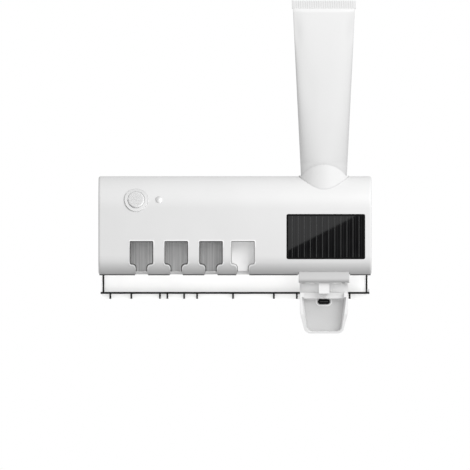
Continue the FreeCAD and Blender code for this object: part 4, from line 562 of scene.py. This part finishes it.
def coiled_wire(radius, wire, turns, start, end):
    """A round wire along a coil: the coil's point turns about the spring's axis and moves on evenly, and the
    wire's section lies across the coil's own direction. Each end is drawn together in one point."""
    sweep = turns * 2 * math.pi
    angle, around = np.meshgrid(np.linspace(0, sweep, 193), np.linspace(0, 2 * math.pi, 13)[:-1],
                                indexing="ij")
    climb = (end - start) / sweep
    radial = np.stack([np.cos(angle), np.zeros_like(angle), np.sin(angle)], axis=-1)
    along = np.stack([-radius * np.sin(angle), np.full_like(angle, climb), radius * np.cos(angle)], axis=-1)
    along /= np.linalg.norm(along, axis=-1)[..., None]
    across = np.cross(along, radial)
    middle = radial * radius + np.stack([np.full_like(angle, tube_x), start + climb * angle,
                                         np.full_like(angle, pump_z)], axis=-1)
    ring = (radial * np.cos(around)[..., None] + across * np.sin(around)[..., None]) * wire / 2
    points = middle + ring
    return np.concatenate([middle[:1], points, middle[-1:]])


spring_low, spring_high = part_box("return_spring")
coil_radius, wire, coil_turns = 5 * mm, 0.7 * mm, 4
spring = piece("coil_spring", "unit", "steel", plated_steel("spring_steel", (0.52, 0.52, 0.52), 0.3),
               coiled_wire(coil_radius, wire, coil_turns, spring_low[1] + wire / 2,
                           spring_high[1] - wire / 2))
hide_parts("return_spring")
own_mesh(spring)

# Push lever
# The scoop that is pushed to draw paste, moulded in white ABS and hung on a steel pin. An oval rubber pad
# with a ridge across its face is set in its plate, inside a raised collar.
lever_white = moulded("lever_white", (0.93, 0.93, 0.93), (0.91, 0.91, 0.91), 0.3, edge=0.6, Coat_Weight=0.2,
                      Coat_Roughness=0.15)


def paint_plate_shade(material, shade, rim_y, plate_y, band_z, scoop_z):
    """Paints shade into a white moulding: a ramp over the piece's own depth, from its rim to its plate, times
    a ramp over its height, from the band down to the scoop, greys the plate as painted shade for its recess."""
    tree = material.node_tree
    shader = tree.nodes["Principled BSDF"]
    place = add(tree, "ShaderNodeTexCoord").outputs["Object"]
    parts = add(tree, "ShaderNodeSeparateXYZ", {"Vector": place}).outputs
    deep = add(tree, "ShaderNodeMapRange", {"Value": parts["Y"], "From Min": rim_y, "From Max": plate_y})
    low = add(tree, "ShaderNodeMapRange", {"Value": parts["Z"], "From Min": band_z, "From Max": scoop_z})
    shaded_share = add(tree, "ShaderNodeMath", {0: deep.outputs["Result"], 1: low.outputs["Result"]},
               operation="MULTIPLY")
    plate_shade_ramp = shades(tree, shaded_share.outputs["Value"], (0, (1, 1, 1)), (1, (shade,) * 3))
    both = add(tree, "ShaderNodeMix", {"Factor": 1.0}, data_type="RGBA", blend_type="MULTIPLY")
    tree.links.new(shader.inputs["Base Color"].links[0].from_socket, both.inputs[6])
    tree.links.new(plate_shade_ramp, both.inputs[7])
    tree.links.new(both.outputs[2], shader.inputs["Base Color"])


# The lever's plate is greyed below the band: painted shade for the recessed plate of the scoop.
rim_front = -38 * mm
paint_plate_shade(lever_white, shade=0.69, rim_y=rim_front, plate_y=-33.4 * mm, band_z=-67.5 * mm,
          scoop_z=-69 * mm)
dress(lever_white, "push_lever")
dress(black_moulding("pad_rubber", 0.5, 0.05), "push_pad")

push_low, push_high = (np.array(corner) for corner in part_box("push_pad"))
push_middle = (push_low + push_high) / 2
push_width, push_height = (push_high - push_low)[0::2]
lever_face = -32.8 * mm


def pad_collar():
    """A half-sunk round bead that follows the pad's outline: the outline grows and shrinks as the bead's
    section turns."""
    turn = np.linspace(0, 2 * math.pi, 13)
    clear, radius = 0.55 * mm, 0.5 * mm
    grown = clear + radius * np.cos(turn)
    rows = [rounded_outline(push_width + 2 * more, push_height + 2 * more, push_height / 2 + more, 9)
            for more in grown]
    points = np.empty((len(turn), len(rows[0]), 3))
    points[..., 0::2] = np.array(rows) + push_middle[0::2]
    points[..., 1] = lever_face - radius * np.sin(turn)[:, None]
    return points


piece("pad_collar", "lever", "shell",
      moulded("collar_white", (0.96, 0.96, 0.96), (0.94, 0.94, 0.94), 0.3, edge=0.1), pad_collar())


def pad_ridge():
    """A bar along the pad's face with an oval section, drawn together at both ends."""
    length, rise, half_height = 0.62 * push_width, 0.12 * mm, 0.4 * mm
    turn = np.linspace(0, 2 * math.pi, 13)[:-1]
    reach = np.array([-0.5, -0.5, -0.42, 0.42, 0.5, 0.5]) * length
    share = np.array([0, 0.6, 1, 1, 0.6, 0])[:, None]
    points = np.empty((len(reach), len(turn), 3))
    points[..., 0] = push_middle[0] + reach[:, None]
    points[..., 1] = push_low[1] + rise * np.cos(turn) * share
    points[..., 2] = push_middle[2] + half_height * np.sin(turn) * share
    return points


piece("pad_ridge", "lever", "black_rubber",
      moulded("ridge_grey", (0.05, 0.05, 0.05), (0.035, 0.035, 0.035), 0.6, edge=0.1), pad_ridge())

# Hanging chamber
# Brushed aluminium sheet folded behind the first three slots, with the glass lamp under its roof, and a white
# moulded pocket behind the last slot.


def brushed_sheet(name):
    """Brushed aluminium: upright streaks, from a noise stretched along Z, in colour, roughness and height."""
    material, tree, shader, place = fresh(name)
    stretched = add(tree, "ShaderNodeMapping", {"Vector": place, "Scale": (900.0, 900.0, 12.0)})
    streak = add(tree, "ShaderNodeTexNoise",
                 {"Vector": stretched.outputs["Vector"], "Scale": 1.0, "Detail": 3.0}).outputs["Fac"]
    tree.links.new(shades(tree, streak, (0.3, (0.55, 0.55, 0.55)), (0.7, (0.85, 0.85, 0.85))),
                   shader.inputs["Base Color"])
    spread = add(tree, "ShaderNodeMapRange", {"Value": streak, "To Min": 0.35, "To Max": 0.6})
    tree.links.new(spread.outputs["Result"], shader.inputs["Roughness"])
    bump = add(tree, "ShaderNodeBump", {"Height": streak, "Strength": 0.3, "Distance": 0.02 * mm})
    tree.links.new(bump.outputs["Normal"], shader.inputs["Normal"])
    shader.inputs["Metallic"].default_value = 1.0
    return material


dress(brushed_sheet("brushed_aluminium"), "reflector")
dress(moulded("holder_white", (0.75, 0.75, 0.75), (0.70, 0.70, 0.70), 0.5), "lamp_holders")
dress(moulded("pocket_white", (0.92, 0.92, 0.92), (0.90, 0.90, 0.90), 0.4), "blind_pocket")


def lamp_glass(name):
    """A quartz tube: a milky body with a glossy coat and a faint bloom."""
    material, tree, shader, place = fresh(name)
    bloom = add(tree, "ShaderNodeTexNoise", {"Vector": place, "Scale": 90.0, "Detail": 2.0}).outputs["Fac"]
    tree.links.new(shades(tree, bloom, (0.3, (0.82, 0.84, 0.86)), (0.7, (0.90, 0.91, 0.92))),
                   shader.inputs["Base Color"])
    shader.inputs["Roughness"].default_value = 0.12
    shader.inputs["Coat Weight"].default_value = 0.5
    return material


dress(lamp_glass("lamp_glass"), "uv_lamp")

# Power
# A lithium cell in a plastic wrap, its moulded cradle, the soft plug of the charging port and the red leads,
# which are held inside the case.


def cell_wrap(name):
    """Shrink wrap on the cell: blue film with faint lengthwise folds."""
    material, tree, shader, place = fresh(name)
    stretched = add(tree, "ShaderNodeMapping", {"Vector": place, "Scale": (6.0, 200.0, 200.0)})
    folds = add(tree, "ShaderNodeTexNoise",
                {"Vector": stretched.outputs["Vector"], "Scale": 1.0, "Detail": 2.0}).outputs["Fac"]
    tree.links.new(shades(tree, folds, (0.3, (0.02, 0.10, 0.33)), (0.7, (0.03, 0.14, 0.42))),
                   shader.inputs["Base Color"])
    bump = add(tree, "ShaderNodeBump", {"Height": folds, "Strength": 0.4, "Distance": 0.1 * mm})
    tree.links.new(bump.outputs["Normal"], shader.inputs["Normal"])
    shader.inputs["Roughness"].default_value = 0.3
    return material


dress(cell_wrap("cell_wrap"), "battery")
dress(moulded("cradle_black", (0.02, 0.02, 0.02), (0.015, 0.015, 0.015), 0.5), "battery_cradle")
dress(moulded("plug_rubber", (0.76, 0.76, 0.76), (0.72, 0.72, 0.72), 0.55), "usb_plug")
dress(moulded("red_vinyl", (0.45, 0.01, 0.01), (0.36, 0.008, 0.008), 0.4),
      "solar_lead", "battery_lead", "lamp_lead")

# Studio
# A long lens straight at the front, a white surround that is brighter above and to the right, a pale floor
# below the frame, and a dark flag that the solar panel mirrors. The tube has a key light of its own, and
# small fills without shadows open up what lies in the shade.
scene = bpy.context.scene
scene.view_settings.view_transform = "Standard"
view_y, view_z, view_width, view_distance = -45 * mm, -8.9 * mm, 430.4 * mm, 12.0
film_width = 36
camera_y = view_y - view_distance
lens = bpy.data.cameras.new("front_lens")
lens.sensor_fit = "HORIZONTAL"
lens.sensor_width = film_width
lens.lens = film_width * view_distance / view_width
lens.clip_end = 50
camera = bpy.data.objects.new("front_camera", lens)
camera.location = (0, camera_y, view_z)
camera.rotation_euler = (math.pi / 2, 0, 0)
scene.collection.objects.link(camera)
scene.camera = camera


def surround(name):
    """Light by direction: a ramp over height, dark below and fullest some way up, times a lean that takes
    light from behind and adds it at the right. The camera itself sees plain white."""
    world = bpy.data.worlds.new(name)
    world.use_nodes = True
    tree = world.node_tree
    tree.nodes.clear()
    way = add(tree, "ShaderNodeTexCoord").outputs["Generated"]
    rise = add(tree, "ShaderNodeSeparateXYZ", {"Vector": way}).outputs["Z"]
    height = add(tree, "ShaderNodeMapRange", {"Value": rise, "From Min": -1.0})
    ramp = shades(tree, height.outputs["Result"], (0, (0.12,) * 3), (0.18, (0.62,) * 3), (0.5, (0.68,) * 3),
                  (0.72, (0.74,) * 3), (1, (0.58,) * 3))
    lean = add(tree, "ShaderNodeVectorMath", operation="DOT_PRODUCT")
    tree.links.new(way, lean.inputs[0])
    lean.inputs[1].default_value = (0.16, -0.2, 0)
    share = add(tree, "ShaderNodeMath", {0: lean.outputs["Value"], 1: 1.0}, operation="ADD")
    lit = add(tree, "ShaderNodeBackground", {"Color": ramp, "Strength": share.outputs["Value"]})
    plain = add(tree, "ShaderNodeBackground", {"Color": (1, 1, 1, 1), "Strength": 1.0})
    seen = add(tree, "ShaderNodeLightPath").outputs["Is Camera Ray"]
    both = add(tree, "ShaderNodeMixShader",
               {0: seen, 1: lit.outputs["Background"], 2: plain.outputs["Background"]})
    add(tree, "ShaderNodeOutputWorld", {"Surface": both.outputs["Shader"]})
    return world


scene.world = surround("studio_surround")


def soft_box(name, place, target, size, power):
    """A rectangular area light that faces a target."""
    light = bpy.data.lights.new(name, "AREA")
    light.shape = "RECTANGLE"
    light.size, light.size_y = size
    light.energy = power
    made = bpy.data.objects.new(name, light)
    made.location = place
    made.rotation_euler = (Vector(target) - Vector(place)).to_track_quat("-Z", "Y").to_euler()
    scene.collection.objects.link(made)
    return made


def link_light(light, state, *pieces):
    """Sets what a light falls on: INCLUDE lights these pieces only, EXCLUDE all others."""
    chosen = bpy.data.collections.new(light.name)
    for one in pieces:
        chosen.objects.link(one)
    for link in chosen.collection_objects:
        link.light_linking.link_state = state
    light.light_linking.receiver_collection = chosen


def fill(name, place, target, size, power, *pieces):
    """A soft box that casts no shadow and lights these pieces only."""
    light = soft_box(name, place, target, size, power)
    light.data.use_shadow = False
    link_light(light, "INCLUDE", *pieces)


key_light = soft_box("key_light", (0.42, -0.62, 0.42), (0, -0.05, 0), (0.5, 0.5), 3.2)
link_light(key_light, "EXCLUDE", tube)
tube_light = soft_box("tube_light", (0.24, -0.62, 0.62), (tube_x, tube_y, 0.12), (0.4, 0.5), 3.19)
link_light(tube_light, "INCLUDE", tube)
fill("low_fill", (0.08, -0.55, -0.35), (0.02, 0, -0.055), (0.6, 0.5), 3.5, nodes["rear_case"])
fill("pocket_fill", (0, -0.55, -0.35), (slot_places[3], -40 * mm, -30 * mm), (0.5, 0.5), 0.45,
     nodes["blind_pocket"])
fill("button_fill", (0.35, -0.25, -0.25), cap_face, (0.3, 0.3), 2.2,
     nodes["button_bezel"], nodes["button_cap"], nodes["sensor_lens"], raised_dots)
recess_z, recess_size = -57.5 * mm, (40 * mm, 6 * mm)
fill("lever_fill", (tube_x, rim_front, recess_z), (tube_x, lever_face, recess_z), recess_size, 0.00032,
     nodes["push_lever"])


def card(name, corners, material):
    """A flat card between four corners, part of the stage."""
    mesh = bpy.data.meshes.new(name)
    mesh.from_pydata(corners, [], [(0, 1, 2, 3)])
    mesh.materials.append(material)
    made = bpy.data.objects.new(name, mesh)
    scene.collection.objects.link(made)
    return made


floor_half, floor_front, floor_back, floor_z = 6, -8, 3.5, -0.3
floor = card("floor", [(-floor_half, floor_front, floor_z), (floor_half, floor_front, floor_z),
                       (floor_half, floor_back, floor_z), (-floor_half, floor_back, floor_z)],
             moulded("pale_floor", (0.86, 0.86, 0.86), (0.84, 0.84, 0.84), 0.7, grain_size=4.0))
floor.visible_diffuse = False
floor.visible_glossy = False


def mirrored(x, z, flag_y, panel_y):
    """Where the camera's line to a point of the panel goes after the panel mirrors it: straight on from the
    camera's image behind the panel, through the point, to the flag's plane."""
    image_y = 2 * panel_y - camera_y
    share = (image_y - flag_y) / (image_y - panel_y)
    return np.array([x * share, flag_y, view_z + (z - view_z) * share])


panel_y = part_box("solar_cells")[0][1]
flag_y, flag_depth = -3, 0.3
edge_low = mirrored(48.5 * mm, -23.0 * mm, flag_y, panel_y)
edge_high = mirrored(109.3 * mm, 8.15 * mm, flag_y, panel_y)
run = edge_high - edge_low
drop = np.array([0, 0, -flag_depth])
flag = card("dark_flag", [edge_low - run, edge_high + run, edge_high + run + drop, edge_low - run + drop],
            moulded("flag_black", (0.01, 0.01, 0.01), (0.008, 0.008, 0.008), 0.9, Specular_IOR_Level=0.0))
flag.visible_camera = False
flag.visible_diffuse = False
flag.visible_shadow = False
